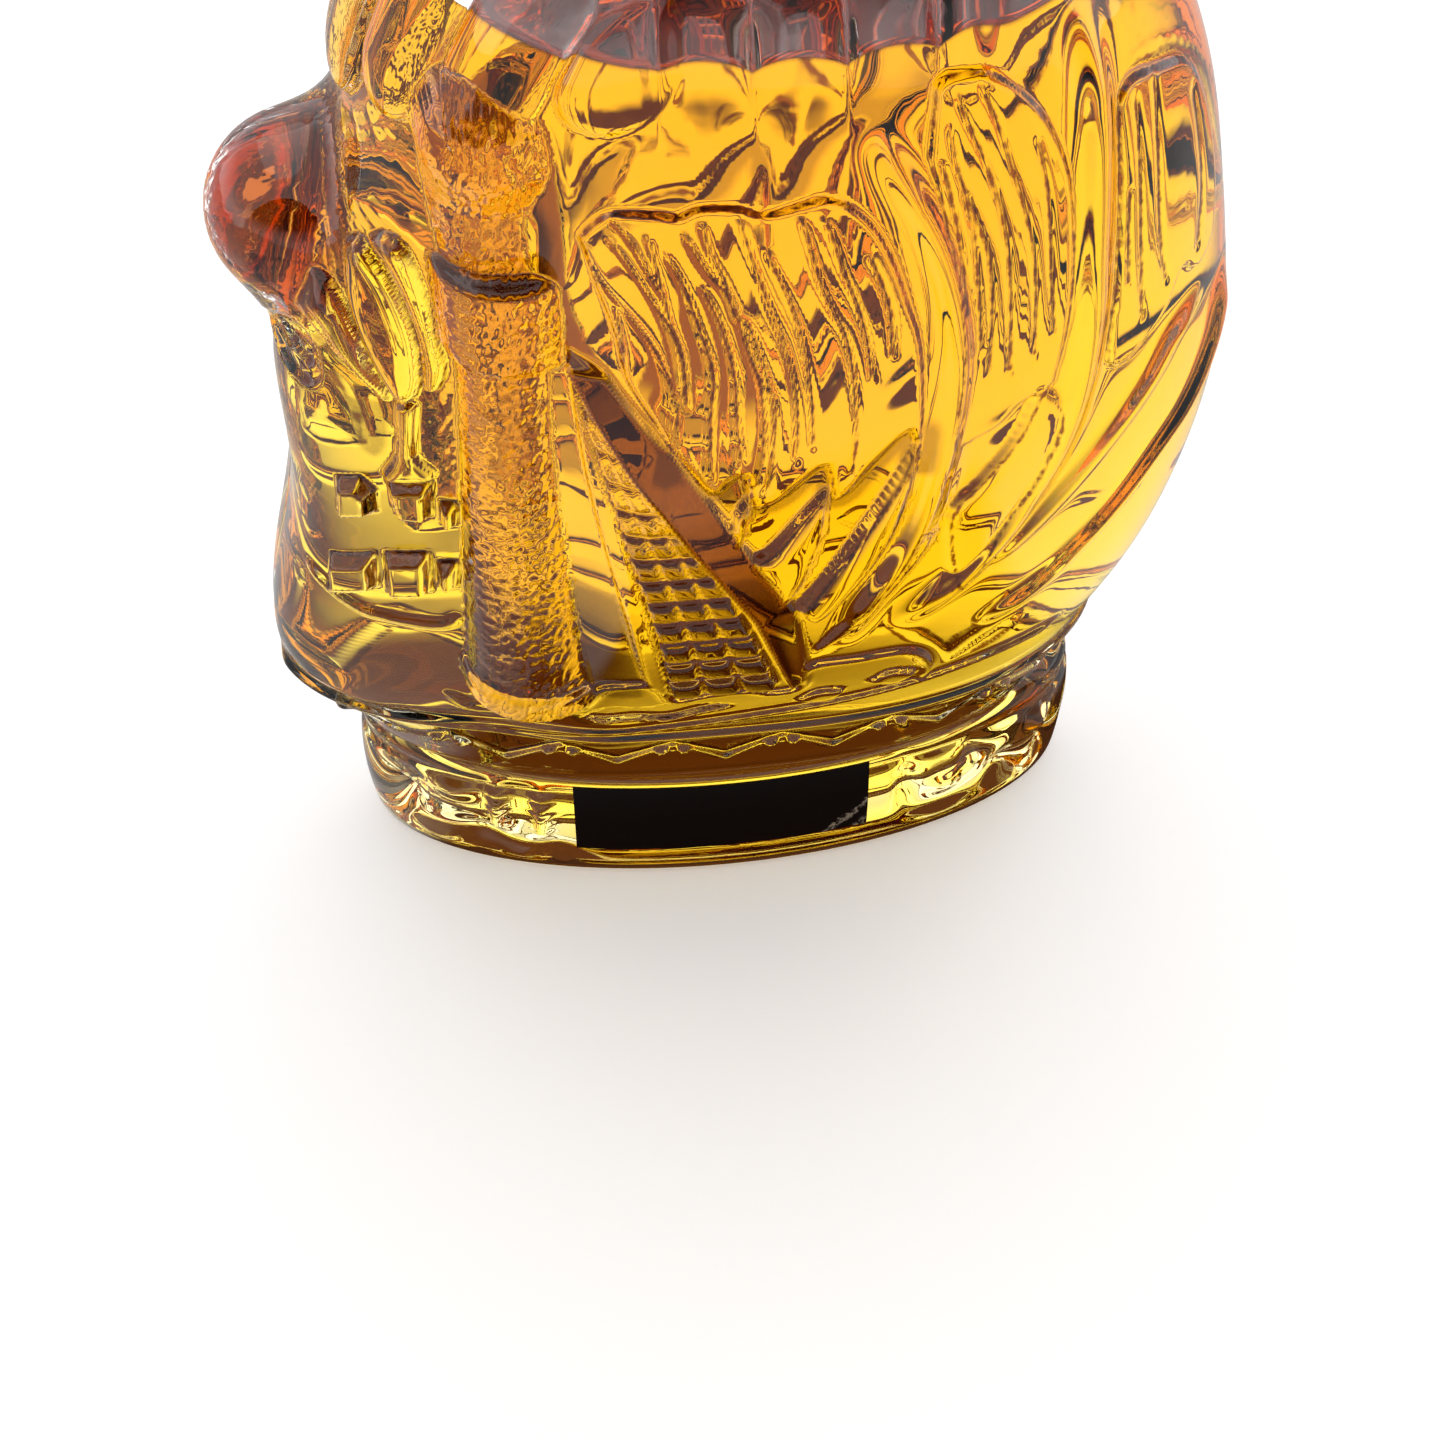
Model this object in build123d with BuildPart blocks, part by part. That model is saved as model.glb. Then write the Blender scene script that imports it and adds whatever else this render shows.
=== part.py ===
from build123d import *
import os
from math import cos, dist, radians, sin

os.makedirs("parts", exist_ok=True)

# Foot of the bottle, an oval drum of solid glass
base_length = 104.8
base_width = 42.6
base_height = 24.5
foot_inset = 1.2
punt_depth = 1.5
punt_margin = 6.0

# Head of the bottle, from the top of the foot to the crown
head_height = 165.0
face_reach = 61.3
back_reach = 63.7
head_half_width = 38.0
middle_setback = 8.0
wall = 4.5
floor_thickness = 9.0
sump_depth = 11.0
fill_height = 161.5

# Moulded ornament: how far it stands out of the head, where its band lies, and its grooves' widths
feather_relief = 1.6
layer_relief = 0.9
ornament_relief = 2.2
band_relief = 0.9
band_bottom = 29.0
band_top = 41.5
groove_width = 1.0
bead_groove_width = 0.8

# Round bulge on the forehead, as hollow as the head
brow_radius = 12.0
brow_height = 120.0

# Ear column, a tapered tube half sunk in each side of the head
column_foot_radius = 8.7
column_neck_radius = 6.5
collar_radius = 8.4
dome_radius = 8.7
foot_ring_radius = 9.8
foot_ring_height = 4.0
column_setback = 26.5
column_offset = 23.6
column_foot_height = 60.0
collar_bottom_height = 120.0
collar_top_height = 133.0
dome_centre_height = 151.0

# Neck and its mouth
neck_radius = 14.3
neck_bore_radius = 9.6
neck_top_height = 213.0
lip_overhang = 2.0
lip_height = 9.0
lip_round_share = 0.8
neck_root_drop = 6.0

# Stopper, a cork shank glued into a turned cap
cork_clearance = 0.05
cork_length = 26.0
cork_chamfer = 1.2
tenon_length = 7.0
glue_gap = 0.05
cap_radius = 18.5
cap_height = 24.0
cap_round = 5.0
cap_groove_depth = 0.8
cap_groove_width = 2.0
cap_groove_height = 5.5
cap_edge_round = 1.0

# Label, a plain sheet stuck on the foot
label_length = 42.5
label_height = 14.2
label_thickness = 0.2
label_setback = -1.5
label_bottom = 7.8

# Clearances, overruns and the radius that lumps are scaled up from
spirit_gap = 0.1
overrun = 5.0
unit_radius = 1

head_top = base_height + head_height
half_length = (face_reach + back_reach) / 2
relief_reach = head_half_width + overrun
brow_place = (0, brow_radius - face_reach, brow_height)

# Head levels: height, face reach, back reach, half width, place of the widest line, pinch of the face,
# squareness of the face, squareness of the back
level_shares = (
    (0.000, 0.820, 0.725, 0.530, 0.000, 0.00, 2.2, 2.4),
    (0.016, 0.850, 0.735, 0.565, 0.125, 0.00, 2.2, 2.4),
    (0.062, 0.885, 0.766, 0.625, 0.250, 0.00, 2.3, 2.4),
    (0.099, 0.973, 0.798, 0.685, 0.375, 0.06, 2.5, 2.4),
    (0.149, 1.000, 0.845, 0.757, 0.500, 0.13, 2.7, 2.4),
    (0.223, 0.960, 0.918, 0.838, 0.625, 0.22, 3.1, 2.4),
    (0.309, 0.914, 0.972, 0.897, 0.750, 0.27, 3.4, 2.4),
    (0.408, 0.906, 1.000, 0.946, 0.875, 0.29, 3.4, 2.4),
    (0.506, 0.889, 0.987, 0.986, 1.000, 0.29, 3.2, 2.4),
    (0.605, 0.785, 0.945, 1.000, 1.000, 0.24, 2.9, 2.4),
    (0.697, 0.695, 0.890, 1.000, 1.000, 0.12, 2.6, 2.4),
    (0.777, 0.632, 0.806, 0.959, 0.875, 0.04, 2.4, 2.3),
    (0.858, 0.545, 0.695, 0.851, 0.625, 0.00, 2.3, 2.2),
    (0.926, 0.436, 0.545, 0.703, 0.375, 0.00, 2.2, 2.1),
    (0.976, 0.310, 0.363, 0.527, 0.125, 0.00, 2.1, 2.0),
    (1.000, 0.250, 0.236, 0.400, 0.000, 0.00, 2.0, 2.0),
)
# The hollow of the foot, in the same terms
sump_shares = (0, 0.840, 0.800, 0.565, 0, 0, 2.1, 2.1)
pinch_start_share = 0.30
pinch_end_share = 0.62
plan_steps = 10
widest_level = 8

# Outlines on the side of the head. Each place is two shares: along from the neck's axis as a share of
# half the length, and up from the foot as a share of the head's height
tooth_shares = (
    (-0.748, 0.402), (-0.644, 0.412), (-0.556, 0.418), (-0.778, 0.303), (-0.665, 0.319), (-0.566, 0.326),
)
tooth_width_share = 0.076
tooth_height_share = 0.050
cheek_shares = (
    ((-0.761, 0.599), (-0.740, 0.556), (-0.659, 0.517), (-0.671, 0.578)),
    ((-0.653, 0.650), (-0.645, 0.590), (-0.603, 0.542), (-0.590, 0.612)),
    ((-0.562, 0.676), (-0.570, 0.620), (-0.556, 0.575), (-0.515, 0.620)),
)
bar_shares = (
    (-0.648, 0.508), (-0.611, 0.509), (-0.622, 0.457), (-0.592, 0.432), (-0.690, 0.424), (-0.661, 0.454),
)
strap_shares = (
    (-0.322, 0.586), (-0.296, 0.602), (-0.251, 0.590), (-0.147, 0.535), (-0.016, 0.423), (0.101, 0.323),
    (0.136, 0.201), (0.104, 0.197), (0.003, 0.320), (-0.134, 0.430), (-0.256, 0.538),
)

# Strip of beads that narrows upwards: its face edge and its back edge, and the grooves between its rows
bead_face_shares = ((-0.160, 0.212), (-0.317, 0.572))
bead_back_shares = ((0.078, 0.199), (-0.314, 0.581))
bead_groove_count = 10
bead_first_share = 0.095
bead_shrink_share = 0.93

# Feathers: plates of short ones, the grooves between those, long smooth quills and pointed blades
plate_shares = (
    (
        (-0.294, 0.713), (-0.238, 0.741), (-0.096, 0.755), (0.075, 0.755), (0.162, 0.750), (0.205, 0.730),
        (0.269, 0.660), (0.310, 0.550), (0.291, 0.506), (0.162, 0.464), (0.090, 0.490), (0.003, 0.465),
        (-0.078, 0.484), (-0.187, 0.570), (-0.270, 0.674),
    ),
    (
        (0.294, 0.778), (0.312, 0.827), (0.416, 0.819), (0.517, 0.771), (0.566, 0.688), (0.576, 0.614),
        (0.554, 0.549), (0.462, 0.523), (0.378, 0.509), (0.373, 0.615), (0.331, 0.721),
    ),
    (
        (0.642, 0.756), (0.680, 0.774), (0.798, 0.746), (0.885, 0.654), (0.894, 0.597), (0.789, 0.570),
        (0.706, 0.541), (0.666, 0.609), (0.656, 0.693),
    ),
)
groove_shares = (
    ((-0.248, 0.724), (-0.157, 0.648), (-0.125, 0.573)),
    ((-0.163, 0.725), (-0.085, 0.621), (-0.077, 0.487)),
    ((-0.093, 0.747), (-0.019, 0.627), (0.005, 0.476)),
    ((-0.034, 0.755), (0.054, 0.627), (0.082, 0.506)),
    ((0.070, 0.752), (0.163, 0.630), (0.182, 0.479)),
    ((0.192, 0.713), (0.238, 0.652), (0.246, 0.591)),
    ((0.326, 0.804), (0.406, 0.688), (0.430, 0.566)),
    ((0.373, 0.825), (0.486, 0.694), (0.515, 0.574)),
    ((0.672, 0.773), (0.698, 0.684), (0.731, 0.573)),
    ((0.715, 0.774), (0.739, 0.674), (0.781, 0.592)),
    ((0.808, 0.734), (0.837, 0.664), (0.848, 0.596)),
)
quill_width = 3.2
quill_shares = (
    ((0.184, 0.805), (0.371, 0.567), (0.190, 0.256)),
    ((0.557, 0.845), (0.622, 0.597), (0.304, 0.273)),
    ((0.894, 0.555), (0.717, 0.472), (0.458, 0.340)),
    ((0.944, 0.541), (0.864, 0.428), (0.603, 0.292)),
)
blade_shares = (
    ((0.141, 0.481), (0.038, 0.411), (0.000, 0.393), (0.066, 0.330), (0.139, 0.414)),
    ((0.302, 0.520), (0.211, 0.427), (0.098, 0.324), (0.144, 0.305), (0.280, 0.412), (0.309, 0.479)),
    ((0.318, 0.426), (0.226, 0.324), (0.136, 0.254), (0.230, 0.293), (0.365, 0.404)),
    ((0.533, 0.558), (0.434, 0.465), (0.374, 0.420), (0.427, 0.310), (0.573, 0.460), (0.598, 0.518)),
)

# Root of the brow's bulge and lobes of the frontlet above it: place across as a share of the half width,
# along and up as above, and the half sizes across, along and up as shares of the half width
lobe_shares = (
    (0.00, -0.704, 0.579, 0.395, 0.237, 0.368),
    (0.00, -0.590, 0.785, 0.200, 0.130, 0.480),
    (0.36, -0.505, 0.795, 0.150, 0.120, 0.430),
    (0.62, -0.345, 0.800, 0.140, 0.130, 0.380),
)
eye_shares = (0.440, -0.860, 0.515, 0.110, 0.105, 0.210)
nose_shares = (0.440, -0.880, 0.425, 0.070, 0.060, 0.300)

# Triangles that the band around the foot is cut with
zigzag_count = 11
zigzag_span_share = 1.24
zigzag_margin_share = 0.20


def smooth_step(value, low, high):
    part = min(max((value - low) / (high - low), 0), 1)
    return part * part * (3 - 2 * part)


def half_plan(level, grow):
    """Points of one side of a level, from the face round to the back."""
    _, face, back, width, middle, pinch, face_power, back_power = level
    centre = middle * middle_setback
    points = []
    for step in range(plan_steps + 1):
        turn = radians(180 * step / plan_steps - 90)
        facing = turn < 0
        power = face_power if facing else back_power
        reach = face * face_reach + centre if facing else back * back_reach - centre
        along_share = abs(sin(turn)) ** (2 / power)
        across_share = abs(cos(turn)) ** (2 / power)
        half_width = width * head_half_width
        if facing:
            half_width *= 1 - pinch * smooth_step(along_share, pinch_start_share, pinch_end_share)
        along = (reach + grow) * along_share
        points.append((across_share * (half_width + grow), centre - along if facing else centre + along))
    return points


def full_plan(level, grow):
    """Points all the way round a level."""
    side = half_plan(level, grow)
    return side + [(-across, along) for across, along in reversed(side[1:-1])]


def body(grow, levels):
    """The head, swollen or shrunk by grow on all sides, through the given levels."""
    with BuildPart() as form:
        for height, level in levels:
            with BuildSketch(Plane.XY.offset(height)):
                with BuildLine():
                    add(Edge.make_spline(full_plan(level, grow), periodic=True, parameters=plan_parameters))
                make_face()
        loft()
    return form.part


# Every level shares the spacing of the widest one, which keeps the lofted surface light
widest_plan = full_plan(level_shares[widest_level], 0)
plan_parameters = [0]
for here, there in zip(widest_plan, widest_plan[1:] + widest_plan[:1]):
    plan_parameters.append(plan_parameters[-1] + dist(here, there))


head_levels = [(base_height + level[0] * head_height, level) for level in level_shares]
proud_levels = head_levels[1:-1]
throat_height = floor_thickness + sump_depth / 2
throat_heights = (throat_height, (throat_height + base_height) / 2, base_height)
cavity_levels = [(height, level_shares[0]) for height in throat_heights] + proud_levels


def sump(gap):
    """The hollow of the foot, with straight sides."""
    points = full_plan(sump_shares, -wall - gap)
    with BuildPart() as hollow:
        with BuildSketch(Plane.XY.offset(floor_thickness + gap)):
            with BuildLine():
                add(Edge.make_spline(points, periodic=True, parameters=plan_parameters))
            make_face()
        extrude(amount=sump_depth - gap - gap)
    return hollow.part


def side_point(shares):
    """A place on the side view of the head."""
    along_share, height_share = shares
    return (along_share * half_length, base_height + height_share * head_height)


def bead_grooves():
    """Ends of the grooves across the strip of beads, closer together further up."""
    ends = []
    share = 0
    step = bead_first_share
    for _ in range(bead_groove_count):
        share += step
        step *= bead_shrink_share
        row = []
        for foot, top in (bead_face_shares, bead_back_shares):
            row.append(tuple(low + share * (high - low) for low, high in zip(foot, top)))
        ends.append(row)
    return ends


def outline_sketch(outlines):
    """Closed outlines with straight sides on the side view of the head."""
    with BuildSketch() as shapes:
        for outline in outlines:
            with BuildLine():
                Polyline(*[side_point(place) for place in outline], close=True)
            make_face()
    return shapes.sketch


def band_sketch(lines, width):
    """Bands of one width along arcs on the side view of the head."""
    with BuildSketch() as bands:
        for places in lines:
            SlotArc(Edge.make_three_point_arc(*[side_point(place) for place in places]), width)
    return bands.sketch


def bar_sketch(lines, width):
    """Straight bands of one width on the side view of the head."""
    with BuildSketch() as bars:
        for places in lines:
            SlotArc(Edge.make_line(*[side_point(place) for place in places]), width)
    return bars.sketch


def ellipsoid(shares):
    """A rounded lump or hollow, placed and sized by shares."""
    across_share, along_share, height_share, *half_shares = shares
    along, high = side_point((along_share, height_share))
    with BuildPart() as lump:
        Sphere(unit_radius)
    sized = scale(lump.part, by=tuple(share * head_half_width for share in half_shares))
    return Pos(across_share * head_half_width, along, high) * sized


def foot_body(grow):
    """The oval drum of the foot, a little barrelled."""
    with BuildPart() as drum:
        for height, inset in ((0, foot_inset), (base_height / 2, 0), (base_height, foot_inset)):
            with BuildSketch(Plane.XY.offset(height)):
                Ellipse(base_width / 2 - inset + grow, base_length / 2 - inset + grow)
        loft()
    return drum.part


# The head at the sizes that the blocks below need
head_form = body(0, head_levels)
layer_form = body(layer_relief, proud_levels)
feather_form = body(feather_relief, proud_levels)
ornament_form = body(ornament_relief, proud_levels)
band_form = body(band_relief, proud_levels)
cavity = body(-wall, cavity_levels)
spirit_form = body(-wall - spirit_gap, cavity_levels)
foot_hollow = sump(0)
foot_spirit = sump(spirit_gap)
foot_form = foot_body(0)
label_form = foot_body(label_thickness)
bead_strip_shares = bead_face_shares + bead_back_shares[::-1]
plates = outline_sketch(plate_shares + (bead_strip_shares,))
blades = outline_sketch(blade_shares + (strap_shares,))
quills = band_sketch(quill_shares, quill_width)
plate_grooves = band_sketch(groove_shares, groove_width)
bead_rows = bar_sketch(bead_grooves(), bead_groove_width)
brow_root, front_lobe, *side_lobes = [ellipsoid(shares) for shares in lobe_shares]
face_hollows = [ellipsoid(shares) for shares in (eye_shares, nose_shares)]

# Ground of the plates and of the bead strip, which their grooves reach down to
with BuildPart() as relief_ground:
    add(layer_form)
    with BuildSketch(Plane.YZ):
        add(plates)
    extrude(amount=relief_reach, mode=Mode.INTERSECT)

# Feathers, beads and strap at their full height
with BuildPart() as feathers:
    add(feather_form)
    with BuildSketch(Plane.YZ):
        add(plates)
        add(plate_grooves, mode=Mode.SUBTRACT)
        add(bead_rows, mode=Mode.SUBTRACT)
        add(quills)
        add(blades)
    extrude(amount=relief_reach, mode=Mode.INTERSECT)

# Teeth and the blades of the cheek
with BuildPart() as face_relief:
    add(ornament_form)
    with BuildSketch(Plane.YZ):
        with Locations(*[side_point(place) for place in tooth_shares]):
            Rectangle(tooth_width_share * half_length, tooth_height_share * head_height)
        for outline in cheek_shares:
            with BuildLine():
                Spline(*[side_point(place) for place in outline], periodic=True)
            make_face()
        with BuildLine():
            Polyline(*[side_point(place) for place in bar_shares], close=True)
        make_face()
    extrude(amount=relief_reach, mode=Mode.INTERSECT)

# Ear column with its foot ring, collar and domed head
with BuildPart() as column:
    with BuildSketch(Plane.XZ):
        with BuildLine():
            Polyline(
                (0, column_foot_height - foot_ring_height),
                (foot_ring_radius, column_foot_height - foot_ring_height),
                (foot_ring_radius, column_foot_height),
                (column_foot_radius, column_foot_height + foot_ring_height / 2),
                (column_neck_radius, collar_bottom_height),
                (collar_radius, collar_bottom_height),
                (collar_radius, collar_top_height),
                (column_neck_radius, collar_top_height),
                (column_neck_radius, dome_centre_height),
                (0, dome_centre_height),
                close=True,
            )
        make_face()
    revolve(axis=Axis.Z)
    with Locations((0, 0, dome_centre_height)):
        Sphere(dome_radius)

# All that stands out of one side of the head
with BuildPart() as side_relief:
    add(relief_ground.part)
    add(feathers.part)
    add(face_relief.part)
    add(Pos(column_offset, -column_setback, 0) * column.part)
    for lobe in side_lobes:
        add(lobe)

# Band around the foot of the head, cut with a row of triangles
with BuildPart() as band:
    add(band_form)
    split(bisect_by=Plane.XY.offset(band_top), keep=Keep.BOTTOM)
    split(bisect_by=Plane.XY.offset(band_bottom), keep=Keep.TOP)
    zigzag_pitch = zigzag_span_share * half_length / zigzag_count
    zigzag_margin = zigzag_margin_share * (band_top - band_bottom)
    with BuildSketch(Plane.YZ):
        for count in range(zigzag_count):
            along = (count - (zigzag_count - 1) / 2) * zigzag_pitch
            with BuildLine():
                Polyline(
                    (along - zigzag_pitch / 2 + zigzag_margin / 2, band_bottom + zigzag_margin),
                    (along + zigzag_pitch / 2 - zigzag_margin / 2, band_bottom + zigzag_margin),
                    (along, band_top - zigzag_margin),
                    close=True,
                )
            make_face()
    extrude(amount=relief_reach, both=True, mode=Mode.SUBTRACT)

# Neck with a rounded lip around its mouth
lip_radius = neck_radius + lip_overhang
with BuildPart() as neck:
    with BuildSketch(Plane.XY.offset(head_top - neck_root_drop)):
        Circle(neck_radius)
    extrude(amount=neck_top_height - head_top + neck_root_drop)
    with BuildSketch(Plane.XY.offset(neck_top_height - lip_height)):
        Circle(lip_radius)
    extrude(amount=lip_height)
    lip_edges = edges().filter_by(GeomType.CIRCLE).group_by(SortBy.RADIUS)[-1]
    fillet(lip_edges, radius=lip_round_share * lip_overhang)

# The bottle, one moulding of clear glass
with BuildPart() as glass_bottle:
    add(head_form)
    add(band.part)
    add(side_relief.part)
    add(mirror(side_relief.part, about=Plane.YZ))
    add(front_lobe)
    add(brow_root)
    with Locations(brow_place):
        Sphere(brow_radius)
    for hollow in face_hollows:
        add(hollow, mode=Mode.SUBTRACT)
        add(mirror(hollow, about=Plane.YZ), mode=Mode.SUBTRACT)
    add(foot_form)
    add(neck.part)
    with BuildSketch(Plane.XY):
        Ellipse(base_width / 2 - punt_margin, base_length / 2 - punt_margin)
    extrude(amount=punt_depth, mode=Mode.SUBTRACT)
    add(cavity, mode=Mode.SUBTRACT)
    add(foot_hollow, mode=Mode.SUBTRACT)
    with Locations(brow_place):
        Sphere(brow_radius - wall, mode=Mode.SUBTRACT)
    with BuildSketch(Plane.XY.offset(neck_top_height)):
        Circle(neck_bore_radius)
    extrude(amount=-(neck_top_height - head_top + neck_root_drop), mode=Mode.SUBTRACT)
glass_bottle.part.label = "glass_bottle"
export_step(glass_bottle.part, "parts/glass_bottle.step")

# Spirit, filling the cavity up to the fill line
with BuildPart() as spirit:
    add(spirit_form)
    add(foot_spirit)
    with Locations(brow_place):
        Sphere(brow_radius - wall - spirit_gap)
    split(bisect_by=Plane.XY.offset(fill_height), keep=Keep.BOTTOM)
spirit.part.label = "spirit"
export_step(spirit.part, "parts/spirit.step")

# Label, curved round the side of the foot
with BuildPart() as label:
    add(label_form)
    add(foot_form, mode=Mode.SUBTRACT)
    with BuildSketch(Plane.YZ):
        with Locations((label_setback, label_bottom + label_height / 2)):
            Rectangle(label_length, label_height)
    extrude(amount=relief_reach, mode=Mode.INTERSECT)
label.part.label = "label"
export_step(label.part, "parts/label.step")

# Cork shank, a sliding fit in the neck with its top glued into the cap
with BuildPart() as cork_shank:
    with BuildSketch(Plane.XY.offset(neck_top_height - cork_length)):
        Circle(neck_bore_radius - cork_clearance)
    extrude(amount=cork_length + tenon_length)
    chamfer(edges().sort_by(Axis.Z)[0], length=cork_chamfer)
cork_shank.part.label = "cork_shank"
export_step(cork_shank.part, "parts/cork_shank.step")

# Turned cap with a blind socket for the cork
with BuildPart() as stopper_cap:
    with BuildSketch(Plane.XY.offset(neck_top_height)):
        Circle(cap_radius)
    extrude(amount=cap_height)
    fillet(edges().sort_by(Axis.Z)[-1], radius=cap_round)
    fillet(edges().sort_by(Axis.Z)[0], radius=cap_edge_round)
    with BuildSketch(Plane.XY.offset(neck_top_height + cap_groove_height)):
        Circle(cap_radius + overrun)
        Circle(cap_radius - cap_groove_depth, mode=Mode.SUBTRACT)
    extrude(amount=cap_groove_width, mode=Mode.SUBTRACT)
    with BuildSketch(Plane.XY.offset(neck_top_height)):
        Circle(neck_bore_radius - cork_clearance + glue_gap)
    extrude(amount=tenon_length, mode=Mode.SUBTRACT)
stopper_cap.part.label = "stopper_cap"
export_step(stopper_cap.part, "parts/stopper_cap.step")
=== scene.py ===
import math

import bpy
import numpy as np
from mathutils import Matrix, Vector


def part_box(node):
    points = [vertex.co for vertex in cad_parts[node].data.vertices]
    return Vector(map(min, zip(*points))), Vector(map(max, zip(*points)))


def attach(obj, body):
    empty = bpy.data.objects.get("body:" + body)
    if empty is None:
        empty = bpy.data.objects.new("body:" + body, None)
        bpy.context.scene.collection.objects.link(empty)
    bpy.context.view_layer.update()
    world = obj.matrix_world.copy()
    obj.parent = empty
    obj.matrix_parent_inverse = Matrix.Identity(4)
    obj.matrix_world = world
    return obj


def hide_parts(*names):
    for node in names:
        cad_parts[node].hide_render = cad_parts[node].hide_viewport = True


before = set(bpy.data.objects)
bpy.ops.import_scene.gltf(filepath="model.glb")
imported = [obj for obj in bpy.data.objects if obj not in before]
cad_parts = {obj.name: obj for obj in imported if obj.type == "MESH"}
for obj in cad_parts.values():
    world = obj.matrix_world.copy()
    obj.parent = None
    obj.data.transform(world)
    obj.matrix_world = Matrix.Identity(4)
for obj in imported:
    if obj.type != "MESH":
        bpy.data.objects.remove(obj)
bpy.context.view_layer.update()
rng = np.random.default_rng(11)
mm = 0.001

# The glass bottle's sizes in millimetres. The roundings and groove of the foot, the top of the cavity, the
# corner of the sump, the root of the neck, the blends, the seam and the flutes are only here. The wall of the
# brow is thinner than in the solids, and the rest is as there.
bottleSizes = {
    "foot": {"length": 104.8, "width": 42.6, "height": 24.5, "inset": 1.2, "punt": 1.5, "puntMargin": 6.0,
             "topRound": 2.2, "bottomRound": 1.8, "groove": 0.42},
    "head": {"height": 165.0, "face": 61.3, "back": 63.7, "half": 38.0, "setback": 8.0, "wall": 4.5,
             "floor": 9.0, "fill": 161.5, "cavityTop": 183.0, "seam": 0.08, "pinchFrom": 0.30,
             "pinchFull": 0.62},
    "sump": {"face": 0.84, "back": 0.80, "width": 0.565, "blend": 6.0, "corner": 4.0},
    "brow": {"radius": 12.0, "height": 120.0, "wall": 3.5, "blend": 7.0},
    "neck": {"radius": 14.3, "bore": 9.6, "top": 213.0, "root": 191.5, "lipOut": 2.0, "lipHeight": 9.0,
             "lipRound": 1.6},
    "flutes": {"depth": 2.3, "pitch": 9.6, "shift": 14.0, "middle": 8.0, "half": 20.0, "low": 154.0,
               "full": 160.0, "top": 172.0},
}
foot, head, sump, brow, neck, flutes = bottleSizes.values()
columns = 380      # faces along half a ring
headRows = 400
rim = 0.45         # half height of the dark rim at the fill line, a painted shade line on the glass
filmGap = 0.04     # between the spirit and the glass
noLine = 2.0       # stands for a place far from any painted shade line
bottle = {}        # what the builders note for the materials

# shares of the head's sizes: height, face, back, width, middle, pinch, then the powers of both curves
levels = np.array((
    (0.000, 0.820, 0.725, 0.530, 0.000, 0.00, 2.2, 2.4),
    (0.016, 0.850, 0.735, 0.565, 0.125, 0.00, 2.2, 2.4),
    (0.062, 0.885, 0.766, 0.625, 0.250, 0.00, 2.3, 2.4),
    (0.099, 0.973, 0.798, 0.685, 0.375, 0.06, 2.5, 2.4),
    (0.149, 1.000, 0.845, 0.757, 0.500, 0.13, 2.7, 2.4),
    (0.223, 0.960, 0.918, 0.838, 0.625, 0.22, 3.1, 2.4),
    (0.309, 0.914, 0.972, 0.897, 0.750, 0.27, 3.4, 2.4),
    (0.408, 0.906, 1.000, 0.946, 0.875, 0.29, 3.4, 2.4),
    (0.506, 0.889, 0.987, 0.986, 1.000, 0.29, 3.2, 2.4),
    (0.605, 0.785, 0.945, 1.000, 1.000, 0.24, 2.9, 2.4),
    (0.697, 0.695, 0.890, 1.000, 1.000, 0.12, 2.6, 2.4),
    (0.777, 0.632, 0.806, 0.959, 0.875, 0.04, 2.4, 2.3),
    (0.858, 0.545, 0.695, 0.851, 0.625, 0.00, 2.3, 2.2),
    (0.926, 0.436, 0.545, 0.703, 0.375, 0.00, 2.2, 2.1),
    (0.976, 0.310, 0.363, 0.527, 0.125, 0.00, 2.1, 2.0),
    (1.000, 0.250, 0.236, 0.400, 0.000, 0.00, 2.0, 2.0),
))


def smooth(value, low, high):
    part = np.clip((value - low) / (high - low + 1e-12), 0, 1)
    return part * part * (3 - 2 * part)


def cubicTable(places, values):
    gaps = np.diff(places)
    count = len(places)
    system = np.eye(count)
    target = np.zeros((count, values.shape[1]))
    for i in range(1, count - 1):
        system[i, i - 1:i + 2] = gaps[i - 1], 2 * (gaps[i - 1] + gaps[i]), gaps[i]
        target[i] = 6 * ((values[i + 1] - values[i]) / gaps[i] - (values[i] - values[i - 1]) / gaps[i - 1])
    bend = np.linalg.solve(system, target)

    def at(place):
        i = int(np.clip(np.searchsorted(places, place) - 1, 0, count - 2))
        a, b, gap = places[i + 1] - place, place - places[i], gaps[i]
        return (bend[i] * a ** 3 + bend[i + 1] * b ** 3) / (6 * gap) + \
            (values[i] / gap - bend[i] * gap / 6) * a + (values[i + 1] / gap - bend[i + 1] * gap / 6) * b
    return at


levelAt = cubicTable(levels[:, 0], levels[:, 1:])
fineTurns = np.linspace(-90, 90, 721)


# points at even steps along a line, with the length run up to each
def spread(points):
    steps = np.hypot(*np.diff(points, axis=0).T)
    run = np.concatenate([[0], np.cumsum(steps)])
    wanted = np.linspace(0, run[-1], columns + 1)
    return np.stack([np.interp(wanted, run, points[:, 0]), np.interp(wanted, run, points[:, 1])], 1), wanted


# half a ring of the head's wall at a height, from the middle of the face to the middle of the back
def headRing(high, grow):
    share = np.clip((high - foot["height"]) / head["height"], 0, 1)
    face, back, width, middle, pinch, facePower, backPower = levelAt(share)
    centre = middle * head["setback"]
    turn = np.radians(fineTurns)
    facing = turn < 0
    power = np.where(facing, facePower, backPower)
    reach = np.where(facing, face * head["face"] + centre, back * head["back"] - centre)
    alongShare = np.abs(np.sin(turn)) ** (2 / power)
    acrossShare = np.abs(np.cos(turn)) ** (2 / power)
    pinched = smooth(alongShare, head["pinchFrom"], head["pinchFull"])
    half = width * head["half"] * np.where(facing, 1 - pinch * pinched, 1)
    along = (reach + grow) * alongShare * np.where(facing, -1, 1) + centre
    return spread(np.stack([acrossShare * (half + grow), along], 1))


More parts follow.
